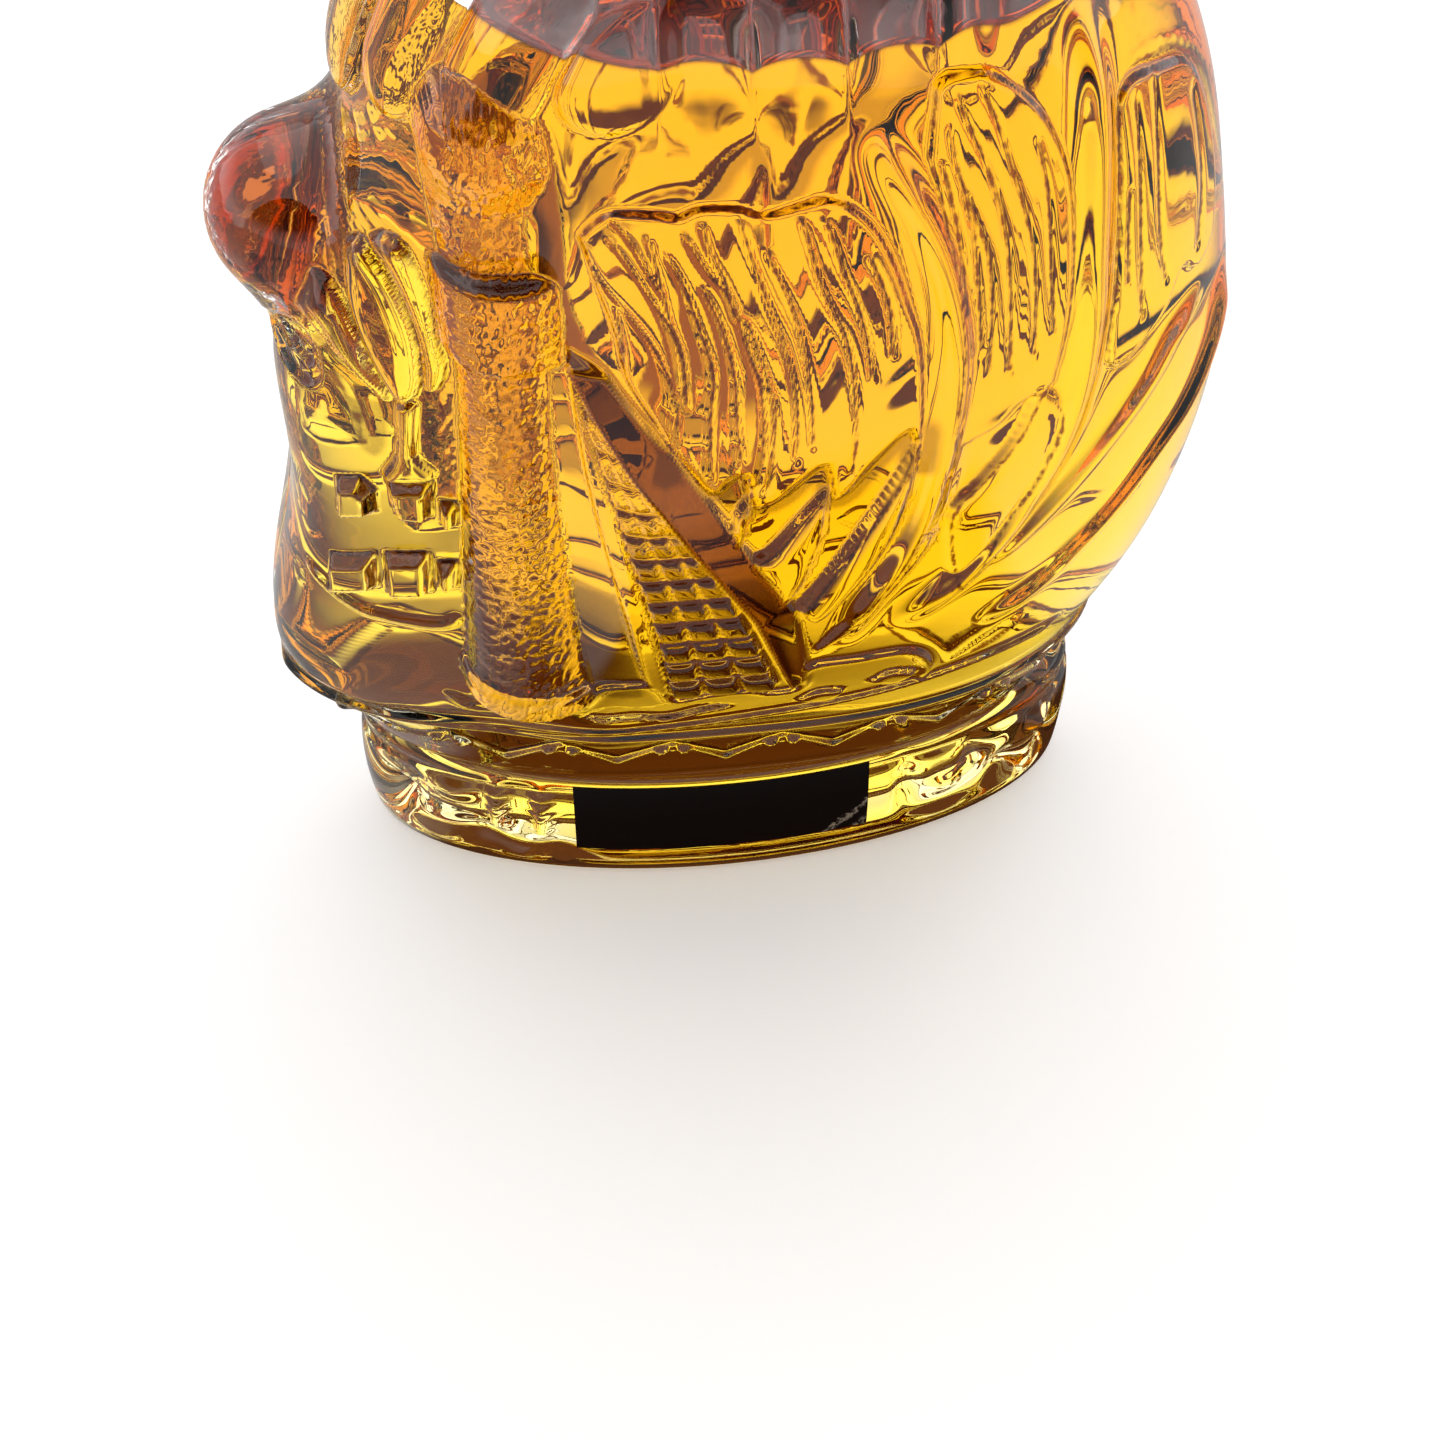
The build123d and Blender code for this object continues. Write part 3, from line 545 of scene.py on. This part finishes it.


# the column, standing out sideways, with its frosting; near says which points are on it, and the third value
# is the painted shade on it
def earColumn(x, y, z):
    radius = np.interp(z, *np.transpose(column["profile"]))
    reach = radius ** 2 - (y - column["axis"][1]) ** 2
    axis = column["axis"][0] - column["domeIn"] * smooth(z, 132.9, 133.5) * smooth(150.0 - z, 0, 8)
    bulge = axis + np.sqrt(np.maximum(reach, 0))
    lift = np.where(reach > 0, np.maximum(bulge - x, 0), 0)
    near = (reach > 0) & (bulge > x + 0.3)
    soft = column["blend"]
    x = x + np.where(lift > 0, np.sqrt(lift ** 2 + soft ** 2) - soft, 0) * (x > 5)
    grain = rng.normal(0, 1, x.shape)
    grain = grain * 0.7 + 0.3 * np.roll(grain, 1, 0)
    # painted shade: speckles that follow the real frosting grain, darker towards the bottom, and a dark band
    # at the ledge
    speckle = np.clip(0.5 + 0.5 * grain, 0, 1) * (0.2 + 0.8 * smooth(90 - z, 0, 26))
    ledge = np.exp(-((z - 133.3) / 0.9) ** 2)
    return x + grain * column["frost"] * near, near, np.maximum(speckle * 0.8, ledge)


# the outside of the head, ring by ring from the crown down
def buildOuter():
    top = foot["height"] + head["height"]
    crown = top - 5      # closer rings above it
    heights = np.append(np.linspace(top, crown, 16)[:-1], np.linspace(crown, foot["height"], headRows))
    rings = []
    for high in heights:
        ring, run = headRing(high, 0)
        along = np.gradient(ring, axis=0)
        along /= np.maximum(np.hypot(along[:, 0], along[:, 1]), 1e-9)[:, None]
        rings.append((*levelRow(ring, high), run, along[:, 1], -along[:, 0]))
    x, y, z, s, nx, ny = (np.array(values) for values in zip(*rings))
    relief, lines, shade = headRelief(x, y, z)
    push = relief + faceFeatures(y, z, s)
    ball = browLift(x, y, z, ny, brow["radius"], brow["blend"])
    push = push * smooth(ball, 2.5, 0.3)
    seam = -head["seam"] * np.exp(-(np.minimum(s, s[:, -1:] - s) / 0.35) ** 2)
    fade = smooth(z, foot["height"], foot["height"] + 1.5) * smooth(top - z, 0, 12)
    push = (push + seam) * fade
    x, y = x + nx * push, y + ny * push - ball
    x, near, paintedShade = earColumn(x, y, z)
    shade = np.where(near, paintedShade, shade)
    lines = np.where(near, noLine, lines)
    return x, y, z, near, lines, shade


# heights down the foot and how far its wall lies in: upper rounding, wall, lower rounding
def footRows():
    upper, lower, top = foot["topRound"], foot["bottomRound"], foot["height"]
    turns = np.linspace(0, math.pi / 2, 8)
    rows = [(top - upper * (1 - math.cos(a)), upper * (1 - math.sin(a))) for a in turns]
    rows += [(high, 0) for high in np.linspace(top - upper, lower, 34)[1:]]
    rows += [(lower * (1 - math.sin(a)), lower * (1 - math.cos(a))) for a in turns[1:]]
    return [(high, inset + foot["inset"] * (2 * high / top - 1) ** 2) for high, inset in rows]


# lumps and hollows of the foot: along, up, half sizes, height, and 1 for a combed one
footCarving = (
    (-46.5, 14, 3.0, 5.0, -1.8, 0), (-36.5, 8.0, 4.5, 3.4, -1.8, 0), (-33.5, 15.5, 1.5, 4.6, 1.6, 1),
    (-27.3, 15.0, 1.5, 4.6, 1.6, 1), (-25.5, 6.5, 4.2, 2.4, -1.6, 0), (-39.5, 18.0, 3.0, 2.2, 1.2, 0),
    (-30.5, 5.0, 3.6, 1.5, 1.1, 0), (-42.0, 5.8, 3.4, 1.8, 1.1, 0),
    (25.5, 15.0, 2.0, 4.8, -1.6, 0), (31.0, 13.0, 3.2, 3.0, 1.3, 0), (36.0, 17.0, 3.0, 3.0, -1.8, 0),
    (41.0, 10.0, 3.6, 3.6, -1.8, 0), (45.5, 17.0, 2.6, 3.0, 1.7, 0), (31.0, 6.0, 4.6, 1.8, 1.0, 0),
    (48.5, 9.0, 2.4, 4.0, -1.5, 0),
)


def footRing(high, inset):
    return levelRow(ovalRing(foot["width"] / 2 - inset, foot["length"] / 2 - inset)[0], high)


def buildFoot():
    x, y, z = (np.array(values) for values in zip(*(footRing(high, inset) for high, inset in footRows())))
    nx, ny = x / (foot["width"] / 2) ** 2, y / (foot["length"] / 2) ** 2
    size = np.hypot(nx, ny)
    nx, ny = nx / size, ny / size
    push = -foot["groove"] * np.exp(-((z - foot["height"] + 4.2) / 0.9) ** 2)
    for cy, cz, ry, rz, height, combed in footCarving:
        gap = np.hypot((y - cy) / ry, (z - cz) / rz)
        comb = 1 + 0.45 * np.sin(z * 2 * math.pi / 1.7) * combed
        push += height * comb * np.exp(-gap ** 2 * 1.3)
    push *= smooth(z, 2.0, 4.0) * smooth(foot["height"] - z, 2.0, 3.5)
    return x + nx * push, y + ny * push, z


# the other half of each ring is its mirror image
def closeRings(rows):
    full = []
    for row in rows:
        half = np.stack(row, 1)
        full.append(np.vstack([half, half[-2:0:-1] * (-1, 1, 1)]))
    return full


# rings joined by quads, with a fan of triangles over each end
def tubeMesh(name, rings):
    count = len(rings[0])
    points = np.concatenate(rings)
    faces = []
    here = np.arange(count)
    there = np.roll(here, -1)
    for i in range(len(rings) - 1):
        a, b = i * count, (i + 1) * count
        faces.append(np.stack([a + here, a + there, b + there, b + here], 1))
    quads = np.concatenate(faces)
    last = (len(rings) - 1) * count
    tip = len(points)
    fans = [(i, tip, j) for i, j in zip(here.tolist(), there.tolist())]
    fans += [(last + j, tip + 1, last + i) for i, j in zip(here.tolist(), there.tolist())]
    points = np.vstack([points, rings[0].mean(0), rings[-1].mean(0)])
    mesh = bpy.data.meshes.new(name)
    mesh.from_pydata((points * mm).tolist(), [], quads.tolist() + fans)
    mesh.update()
    mesh.shade_smooth()
    thing = bpy.data.objects.new(name, mesh)
    bpy.context.collection.objects.link(thing)
    return thing


# 0 for dry glass, 1 for glass that the spirit wets, 2 for the frosted column
def glassFaces(mesh):
    count = len(mesh.polygons)
    ring = columns * 2
    rows = bottle["rows"] - 1
    index = np.zeros(count, np.int32)
    index[(rows - bottle["wetRows"] + 1) * ring:rows * ring] = 1
    index[-ring:] = 1
    etched = bottle["etched"]
    etched = (etched[1:] & etched[:-1])[::-1]
    half = etched[:, 1:] & etched[:, :-1]
    first = rows - bottle["headStart"] - len(half)
    index[first * ring:(first + len(half)) * ring][np.hstack([half, half[:, ::-1]]).ravel()] = 2
    return index


# the wall that glass and spirit share: rounded floor, sump, and up to the fill line
def wetRings(gap):
    rows = []
    wall, corner = head["wall"] + gap, sump["corner"]
    for share in np.linspace(0, 1, 9):
        high = head["floor"] + gap + (corner - gap) * (1 - math.cos(share * math.pi / 2))
        rows.append(innerRing(high, -wall - corner * (1 - math.sin(share * math.pi / 2))))
    for high in np.linspace(head["floor"] + corner + 0.4, foot["height"] - 0.3, 8):
        rows.append(innerRing(high, -wall))
    for high in np.append(np.linspace(foot["height"] + 0.01, head["fill"] - rim, 73), head["fill"]):
        rows.append(innerRing(high, -wall))
    return rows


# rings of the mouth: up the bore, over the lip and down to where the head begins
def mouthRings():
    bore, radius, top, r = neck["bore"], neck["radius"], neck["top"], neck["lipRound"]
    lip, low = radius + neck["lipOut"], top - neck["lipHeight"]
    turns = np.linspace(0, math.pi / 2, 7)
    profile = [(bore + 2.0, 185.0), (bore + 0.8, 186.2), (bore + 0.15, 187.4), (bore, 189), (bore, 200),
               (bore, top - 1.1), (bore + 0.1, top - 0.3), (bore + 0.5, top)]
    profile += [(lip - r + r * math.sin(a), top - r + r * math.cos(a)) for a in turns]
    profile += [(lip - r + r * math.cos(a), low + r - r * math.sin(a)) for a in turns]
    profile += [(radius + 0.2, low - 0.1), (radius, low - 0.8), (radius, 200), (radius, 196), (radius, 193)]
    profile += [(radius + 0.5 * t * t, neck["root"] - 0.45 * t) for t in (0, 0.5, 1.0, 1.5, 2)]
    return [levelRow(ovalRing(around, around)[0], high) for around, high in profile]


# one skin: up the cavity and the bore, over the lip, down the head and the foot, and into the punt
def buildGlass():
    rows = wetRings(0)
    bottle["wetRows"] = len(rows)
    for high in np.append(head["fill"] + rim, np.linspace(head["fill"] + 2, head["cavityTop"], 12)):
        rows.append(innerRing(high, -head["wall"]))
    rows += mouthRings()
    bottle["headStart"] = len(rows)
    start = 3      # the rings above it lie inside the neck's root
    x, y, z, near, lines, shade = (values[start:] for values in buildOuter())
    bottle["etched"] = near
    rows += list(zip(x, y, z)) + list(zip(*buildFoot()))
    margin, punt = foot["puntMargin"], foot["punt"]
    under = ((0, margin / 2), (0, margin), (0.5, margin + 1.2), (1.2, margin + 3),
             (punt, margin + 6), (punt, margin + 11))
    rows += [footRing(*place) for place in under]
    bottle["rows"] = len(rows)
    thing = tubeMesh("bottleGlass", closeRings(rows[::-1]))
    # the mesh carries, for the glass materials, the distance to painted shade lines and the share of painted
    # shade
    for name, half, empty in (("lines", lines, noLine), ("shade", shade, 0)):
        values = np.full((len(rows), columns * 2), float(empty))
        values[bottle["headStart"]:bottle["headStart"] + len(half)] = np.hstack([half, half[:, -2:0:-1]])
        # the row at the fill line gets full painted shade, the dark rim at the spirit's edge
        if name == "shade":
            values[bottle["wetRows"] - 1] = 1
        layer = thing.data.attributes.new(name, "FLOAT", "POINT")
        layer.data.foreach_set("value", np.append(values[::-1].ravel(), [empty, empty]))
    return thing


# the same wall a hair inside the glass, closed by a level top
def buildSpirit():
    rows = wetRings(filmGap)
    bottle["sideRows"] = len(rows) - 1
    edge = rows[-1]
    middle = edge[1].mean()
    for share in (0.96, 0.85, 0.68, 0.46, 0.22):
        rows.append((edge[0] * share, middle + (edge[1] - middle) * share, edge[2]))
    return tubeMesh("goldenSpirit", closeRings(rows))


# 0 for the sides, 1 for the top
def spiritFaces(mesh):
    ring = columns * 2
    index = np.zeros(len(mesh.polygons), np.int32)
    index[bottle["sideRows"] * ring:-ring * 2] = 1
    index[-ring:] = 1
    return index


glass = buildGlass()
spirit = buildSpirit()
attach(glass, "bottle")
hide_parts("glass_bottle")
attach(spirit, "bottle")
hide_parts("spirit")
print("glass and spirit meshed", len(glass.data.polygons), len(spirit.data.polygons))


# materials are made of nodes whose inputs are either linked or set
def newMaterial(name):
    material = bpy.data.materials.new(name)
    material.use_nodes = True
    material.node_tree.nodes.clear()
    return material, material.node_tree


def addNode(tree, kind, inputs=(), **options):
    node = tree.nodes.new("ShaderNode" + kind)
    for option, value in options.items():
        setattr(node, option, value)
    for socket, value in dict(inputs).items():
        if isinstance(value, bpy.types.NodeSocket):
            tree.links.new(value, node.inputs[socket])
        else:
            node.inputs[socket].default_value = value
    return node


def objectPlace(tree):
    return addNode(tree, "TexCoord").outputs["Object"]


def noise(tree, place, scale, detail=2, rough=0.5):
    inputs = {"Vector": place, "Scale": scale, "Detail": detail, "Roughness": rough}
    return addNode(tree, "TexNoise", inputs).outputs["Fac"]


def remap(tree, value, start, end, low=0, high=1, kind="SMOOTHSTEP"):
    inputs = {"Value": value, "From Min": start, "From Max": end, "To Min": low, "To Max": high}
    return addNode(tree, "MapRange", inputs, interpolation_type=kind).outputs["Result"]


def maths(tree, operation, *values):
    return addNode(tree, "Math", enumerate(values), operation=operation).outputs[0]


def vectorMaths(tree, operation, *values, output="Value"):
    return addNode(tree, "VectorMath", enumerate(values), operation=operation).outputs[output]


def mixColors(tree, factor, first, second):
    inputs = {"Factor": factor, "A": first, "B": second}
    return addNode(tree, "Mix", inputs, data_type="RGBA").outputs["Result"]


def mixShaders(tree, factor, first, second):
    return addNode(tree, "MixShader", {0: factor, 1: first, 2: second}).outputs[0]


def colorRamp(tree, value, stops, kind="LINEAR"):
    node = addNode(tree, "ValToRGB", {0: value})
    node.color_ramp.interpolation = kind
    for element, (place, color) in zip(node.color_ramp.elements, stops):
        element.position = place
        element.color = color
    return node.outputs["Color"]


def bumps(tree, height, strength, distance):
    inputs = {"Height": height, "Strength": strength, "Distance": distance}
    return addNode(tree, "Bump", inputs).outputs["Normal"]


def finishMaterial(tree, inputs):
    shader = addNode(tree, "BsdfPrincipled", inputs).outputs["BSDF"]
    addNode(tree, "OutputMaterial", {"Surface": shader})


glassLook = {
    "index": 1.5,
    "clear": (0.985, 0.99, 0.98, 1),
    "etched": (0.82, 0.50, 0.24, 1),       # painted orange light on the frosted ear column, for the spirit's orange that it scatters
    "etchedRough": 0.07,
    "line": (0.065, 0.016, 0.004, 1),      # painted shade: dark amber along grooves and outlines and over shaded fields
    "lineOut": 0.75,                       # mm from a line at which its painted shade ends
    "lineFull": 0.45,
    "lineShake": 0.6,
    "shakeScale": 700,
    "brow": (0.46, 0.13, 0.04, 1),         # painted red shade on the brow's wet glass, for the long paths through the spirit that its lens gathers
    "browNear": 10 * mm,
    "browFar": 15 * mm,
    "foot": (1, 0.88, 0.42, 1),            # painted gold light on the clear foot, for the gold of the spirit above it that the foot gathers
    "waves": 0.06,
    "waveHeight": 0.0004,
    "waveScale": 160,
}
spiritLook = {"index": 1.36, "color": (0.975, 0.856, 0.06, 1), "density": 90}


def glassMaterial(name, index, rough=0.0, color=glassLook["clear"]):
    material, tree = newMaterial(name)
    place = objectPlace(tree)
    base = color
    if name == "wetGlass":
        # painted shade: red on the wet glass round the brow's ball
        centre = (0, (brow["radius"] - head["face"] + 1) * mm, brow["height"] * mm)
        far = vectorMaths(tree, "DISTANCE", place, centre)
        near = remap(tree, far, glassLook["browNear"], glassLook["browFar"])
        base = mixColors(tree, near, glassLook["brow"], color)
    elif name == "clearGlass":
        # painted light: gold on the clear glass of the foot
        up = addNode(tree, "SeparateXYZ", {0: place}).outputs["Z"]
        low = remap(tree, up, (foot["height"] - 1) * mm, (foot["height"] + 3) * mm)
        base = mixColors(tree, low, glassLook["foot"], color)
    # the mesh says how far each point is from a painted shade line, and how much painted shade its face gets
    lines = addNode(tree, "Attribute", attribute_name="lines").outputs["Fac"]
    shade = addNode(tree, "Attribute", attribute_name="shade").outputs["Fac"]
    shake = noise(tree, place, glassLook["shakeScale"])
    shaky = maths(tree, "MULTIPLY_ADD", shake, glassLook["lineShake"], lines)
    thin = remap(tree, shaky, glassLook["lineOut"], glassLook["lineFull"])
    paintedShade = maths(tree, "MAXIMUM", thin, shade)
    waves = noise(tree, place, glassLook["waveScale"])
    finishMaterial(tree, {
        "Base Color": mixColors(tree, paintedShade, base, glassLook["line"]),
        "Transmission Weight": 1,
        "IOR": index,
        "Roughness": rough,
        "Normal": bumps(tree, waves, glassLook["waves"], glassLook["waveHeight"]),
    })
    return material


# only the spirit's top bends light, because the wet glass does it for the sides
def spiritMaterial(name):
    material, tree = newMaterial(name)
    if name == "spiritTop":
        inputs = {"Base Color": (1, 1, 1, 1), "Transmission Weight": 1, "IOR": spiritLook["index"]}
        inputs["Roughness"] = 0
        shader = addNode(tree, "BsdfPrincipled", inputs).outputs["BSDF"]
    else:
        shader = addNode(tree, "BsdfTransparent").outputs["BSDF"]
    inputs = {"Color": spiritLook["color"], "Density": spiritLook["density"]}
    volume = addNode(tree, "VolumeAbsorption", inputs).outputs["Volume"]
    addNode(tree, "OutputMaterial", {"Surface": shader, "Volume": volume})
    return material


index = glassLook["index"]
glassMaterials = (glassMaterial("clearGlass", index), glassMaterial("wetGlass", index / spiritLook["index"]),
                  glassMaterial("etchedGlass", index, glassLook["etchedRough"], glassLook["etched"]))
for material in glassMaterials:
    glass.data.materials.append(material)
glass.data.polygons.foreach_set("material_index", glassFaces(glass.data))
for material in (spiritMaterial("spiritSide"), spiritMaterial("spiritTop")):
    spirit.data.materials.append(material)
spirit.data.polygons.foreach_set("material_index", spiritFaces(spirit.data))


labelLook = {
    "paper": (0.0032, 0.0028, 0.0028, 1),
    "worn": (0.40, 0.32, 0.24, 1),
    "rough": 0.42,
    "fine": (0.12, 0.0001),    # strength and height of the fine bumps
    "fineScale": 2500,
    "crackScale": 900,
    "wearStart": -0.0022,      # metres from the lower corner at the back, inwards
    "wearFull": -0.0010,
    "chipsFrom": 0.50,
    "chipsFull": 0.54,
    "creaseIn": 0.0012,
    "creaseShake": 0.006,
    "creaseOut": 0.00045,
    "creaseFull": 0.00010,
}


def labelMaterial():
    material, tree = newMaterial("blackSatin")
    place = objectPlace(tree)
    low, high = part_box("label")
    corner = addNode(tree, "Mapping", {"Vector": place, "Location": (0, -high[1], -low[2])}).outputs["Vector"]
    outward = vectorMaths(tree, "DOT_PRODUCT", corner, (0, 0.707, -0.707))
    cracks = noise(tree, place, labelLook["crackScale"], 5, 0.7)
    strip = remap(tree, outward, labelLook["wearStart"], labelLook["wearFull"])
    chips = remap(tree, cracks, labelLook["chipsFrom"], labelLook["chipsFull"], kind="LINEAR")
    crooked = maths(tree, "MULTIPLY_ADD", cracks, labelLook["creaseShake"], outward)
    span = maths(tree, "ABSOLUTE", maths(tree, "ADD", crooked, labelLook["creaseIn"]))
    crease = remap(tree, span, labelLook["creaseOut"], labelLook["creaseFull"])
    wear = maths(tree, "MAXIMUM", maths(tree, "MULTIPLY", strip, chips), crease)
    finishMaterial(tree, {
        "Base Color": mixColors(tree, wear, labelLook["paper"], labelLook["worn"]),
        "Roughness": labelLook["rough"],
        "Normal": bumps(tree, noise(tree, place, labelLook["fineScale"]), *labelLook["fine"]),
    })
    return material


capLook = {
    "grain": ((0, (0.022, 0.009, 0.004, 1)), (0.6, (0.13, 0.058, 0.024, 1))),
    "rough": 0.38,
    "fibres": (0.25, 0.0002),  # strength and height
    "fibreScale": 420,
    "ringScale": 60,
}


def woodMaterial():
    material, tree = newMaterial("stainedWood")
    along = addNode(tree, "Mapping", {"Vector": objectPlace(tree), "Scale": (1, 1, 0.12)}).outputs["Vector"]
    fibre = noise(tree, along, capLook["fibreScale"], 6)
    inputs = {"Vector": along, "Scale": capLook["ringScale"], "Distortion": 6, "Detail": 3}
    rings = addNode(tree, "TexWave", inputs).outputs["Fac"]
    finishMaterial(tree, {
        "Base Color": colorRamp(tree, maths(tree, "MULTIPLY", fibre, rings), capLook["grain"]),
        "Roughness": capLook["rough"],
        "Normal": bumps(tree, fibre, *capLook["fibres"]),
    })
    return material


corkLook = {
    "pores": ((0.34, (0.10, 0.045, 0.018, 1)), (0.48, (0.50, 0.30, 0.14, 1))),
    "cells": (0.60, 0.38, 0.19, 1),
    "rough": 0.8,
    "pits": (0.4, 0.0003),     # strength and depth
    "cellScale": 700,
    "poreScale": 260,
}


def corkMaterial():
    material, tree = newMaterial("naturalCork")
    place = objectPlace(tree)
    cells = addNode(tree, "TexVoronoi", {"Vector": place, "Scale": corkLook["cellScale"]}).outputs["Distance"]
    pores = noise(tree, place, corkLook["poreScale"], 4)
    finishMaterial(tree, {
        "Base Color": mixColors(tree, cells, corkLook["cells"], colorRamp(tree, pores, corkLook["pores"])),
        "Roughness": corkLook["rough"],
        "Normal": bumps(tree, pores, *corkLook["pits"]),
    })
    return material


solidMaterials = {"label": labelMaterial(), "stopper_cap": woodMaterial(), "cork_shank": corkMaterial()}
for node, material in solidMaterials.items():
    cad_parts[node].material_slots[0].material = material
print("materials made")

# camera at the photograph's viewing angle, level from side to side
view = {
    "place": (0.2704, -0.0317, 0.3736),
    "look": (-0.5948, 0.0709, -0.8007),
    "turn": 6.8,               # degrees from the middle plane
    "lens": 76.1,
    "sensor": 36,
}
camera = bpy.data.cameras.new("viewCamera")
camera.lens, camera.sensor_width = view["lens"], view["sensor"]
camera.clip_start = 0.01
cameraObject = bpy.data.objects.new("viewCamera", camera)
bpy.context.collection.objects.link(cameraObject)
look = Vector(view["look"]).normalized()
sideways = Vector((math.sin(math.radians(view["turn"])), math.cos(math.radians(view["turn"])), 0))
turned = Matrix((sideways, sideways.cross(look), -look)).transposed()
cameraObject.matrix_world = Matrix.Translation(view["place"]) @ turned.to_4x4()
bpy.context.scene.camera = cameraObject


# floor, world and lamps, with places in metres
floorLook = {
    "half": 3,
    "color": (0.78, 0.78, 0.78, 1),
    "lift": 0.34,              # brightness added for the camera alone
    "mirrored": 0.6,           # level to reflected rays
    "through": 1.6,            # level to refracted rays
    # painted shadow seen in reflections and through the glass: its colour, then the patch under the bottle
    # and the strip further back
    "shadowPatchColor": (0.08, 0.028, 0.012, 1),
    "shadowPatchHalf": 0.098,
    "shadowPatchMiddle": (0.018, 0.010),
    "shadowPatchSides": (0.050, 0.064),
    "shadowPatchEdge": (0.72, 1.12),
    "farShadowMiddle": -0.160,
    "farShadowHalf": (0.026, 0.060),
    "farShadowEdge": (1.1, 1.5),
}


def stageFloor():
    half = floorLook["half"]
    mesh = bpy.data.meshes.new("paleFloor")
    corners = [(-half, -half, 0), (half, -half, 0), (half, half, 0), (-half, half, 0)]
    mesh.from_pydata(corners, [], [(0, 1, 2, 3)])
    thing = bpy.data.objects.new("paleFloor", mesh)
    bpy.context.collection.objects.link(thing)
    material, tree = newMaterial("paleFloor")
    rays = addNode(tree, "LightPath").outputs
    place = objectPlace(tree)
    # painted shadow for reflected and refracted rays: a warm dark patch under the bottle, and a broken dark
    # strip further back
    half, middle, edge = floorLook["shadowPatchHalf"], floorLook["shadowPatchMiddle"], floorLook["shadowPatchEdge"]
    inputs = {"Vector": place, "Scale": (1 / half, 1, 1), "Location": (-middle[0] / half, -middle[1], 0)}
    onShadowPatch = addNode(tree, "Mapping", inputs).outputs["Vector"]
    parts = addNode(tree, "SeparateXYZ", {0: vectorMaths(tree, "ABSOLUTE", onShadowPatch, output="Vector")}).outputs
    sides = remap(tree, parts["Y"], *floorLook["shadowPatchSides"], *edge, kind="LINEAR")
    offShadowPatch = remap(tree, maths(tree, "MAXIMUM", parts["X"], sides), *edge)
    half = floorLook["farShadowHalf"]
    inputs = {"Vector": place, "Scale": (1 / half[0], 1 / half[1], 1),
              "Location": (-floorLook["farShadowMiddle"] / half[0], 0, 0)}
    onFarShadow = vectorMaths(tree, "LENGTH", addNode(tree, "Mapping", inputs).outputs["Vector"])
    offFarShadow = remap(tree, maths(tree, "ADD", onFarShadow, noise(tree, place, 38, 3)), *floorLook["farShadowEdge"])
    paintedShadowTint = mixColors(tree, maths(tree, "MULTIPLY", offShadowPatch, offFarShadow), floorLook["shadowPatchColor"], (1, 1, 1, 1))
    levels = floorLook["mirrored"], floorLook["through"]
    level = remap(tree, rays["Is Transmission Ray"], 0, 1, *levels, kind="LINEAR")
    shown = addNode(tree, "VectorMath", {0: paintedShadowTint, "Scale": level}, operation="SCALE").outputs[0]
    glow = addNode(tree, "Emission", {"Color": shown, "Strength": 1}).outputs[0]
    matte = addNode(tree, "BsdfDiffuse", {"Color": floorLook["color"]}).outputs[0]
    lift = addNode(tree, "Emission", {"Strength": floorLook["lift"]}).outputs[0]
    lit = addNode(tree, "AddShader", {0: matte, 1: lift}).outputs[0]
    seen = mixShaders(tree, rays["Is Camera Ray"], matte, lit)
    bent = maths(tree, "MAXIMUM", rays["Is Glossy Ray"], rays["Is Transmission Ray"])
    addNode(tree, "OutputMaterial", {"Surface": mixShaders(tree, bent, seen, glow)})
    thing.data.materials.append(material)


worldLook = {
    "sky": ((0.02, (1, 1, 1, 1)), (0.34, (0.05, 0.045, 0.04, 1))),     # white low down, dark above
    "behind": (1.3, 1.3, 1.3, 1),
    "behindEdge": (-0.6, -0.85),
    "glowAim": (-0.52, 0.0, 0.854),
    "glowEdge": (0.80, 1.0),
    "glow": 0.6,
}


def stageWorld():
    world = bpy.data.worlds.new("studio")
    bpy.context.scene.world = world
    world.use_nodes = True
    tree = world.node_tree
    tree.nodes.clear()
    toward = addNode(tree, "TexCoord").outputs["Generated"]
    parts = addNode(tree, "SeparateXYZ", {0: toward}).outputs
    sky = colorRamp(tree, parts["Z"], worldLook["sky"], "EASE")
    behind = remap(tree, parts["X"], *worldLook["behindEdge"])
    around = mixColors(tree, behind, sky, worldLook["behind"])
    aim = vectorMaths(tree, "DOT_PRODUCT", toward, worldLook["glowAim"])
    glow = remap(tree, aim, *worldLook["glowEdge"], 0, worldLook["glow"])
    lit = vectorMaths(tree, "ADD", around, glow, output="Vector")
    seen = addNode(tree, "LightPath").outputs["Is Camera Ray"]
    shown = mixColors(tree, seen, lit, (1, 1, 1, 1))
    back = addNode(tree, "Background", {"Color": shown, "Strength": 1}).outputs[0]
    addNode(tree, "OutputWorld", {"Surface": back})


# place, what it looks at, size of its square, power in watts
lamps = {
    "softLeft": ((-0.2, -0.9, 0.7), (0, 0, 0.1), 1.6, 9.0),
    "softRight": ((-0.3, 0.9, 0.6), (0, 0, 0.1), 1.6, 9.0),
    "softTop": ((-0.5, 0, 1.6), (0, 0, 0.05), 2.4, 18.0),
}


def lamp(name, place, aim, size, power):
    light = bpy.data.lights.new(name, "AREA")
    light.shape = "RECTANGLE"
    light.size = size
    light.size_y = size
    light.energy = power
    thing = bpy.data.objects.new(name, light)
    bpy.context.collection.objects.link(thing)
    direction = (Vector(aim) - Vector(place)).normalized()
    thing.matrix_world = Matrix.Translation(place) @ direction.to_track_quat("-Z", "Y").to_matrix().to_4x4()


stageFloor()
stageWorld()
for name, values in lamps.items():
    lamp(name, *values)
scene = bpy.context.scene
scene.view_settings.view_transform = "Standard"
print("stage set")
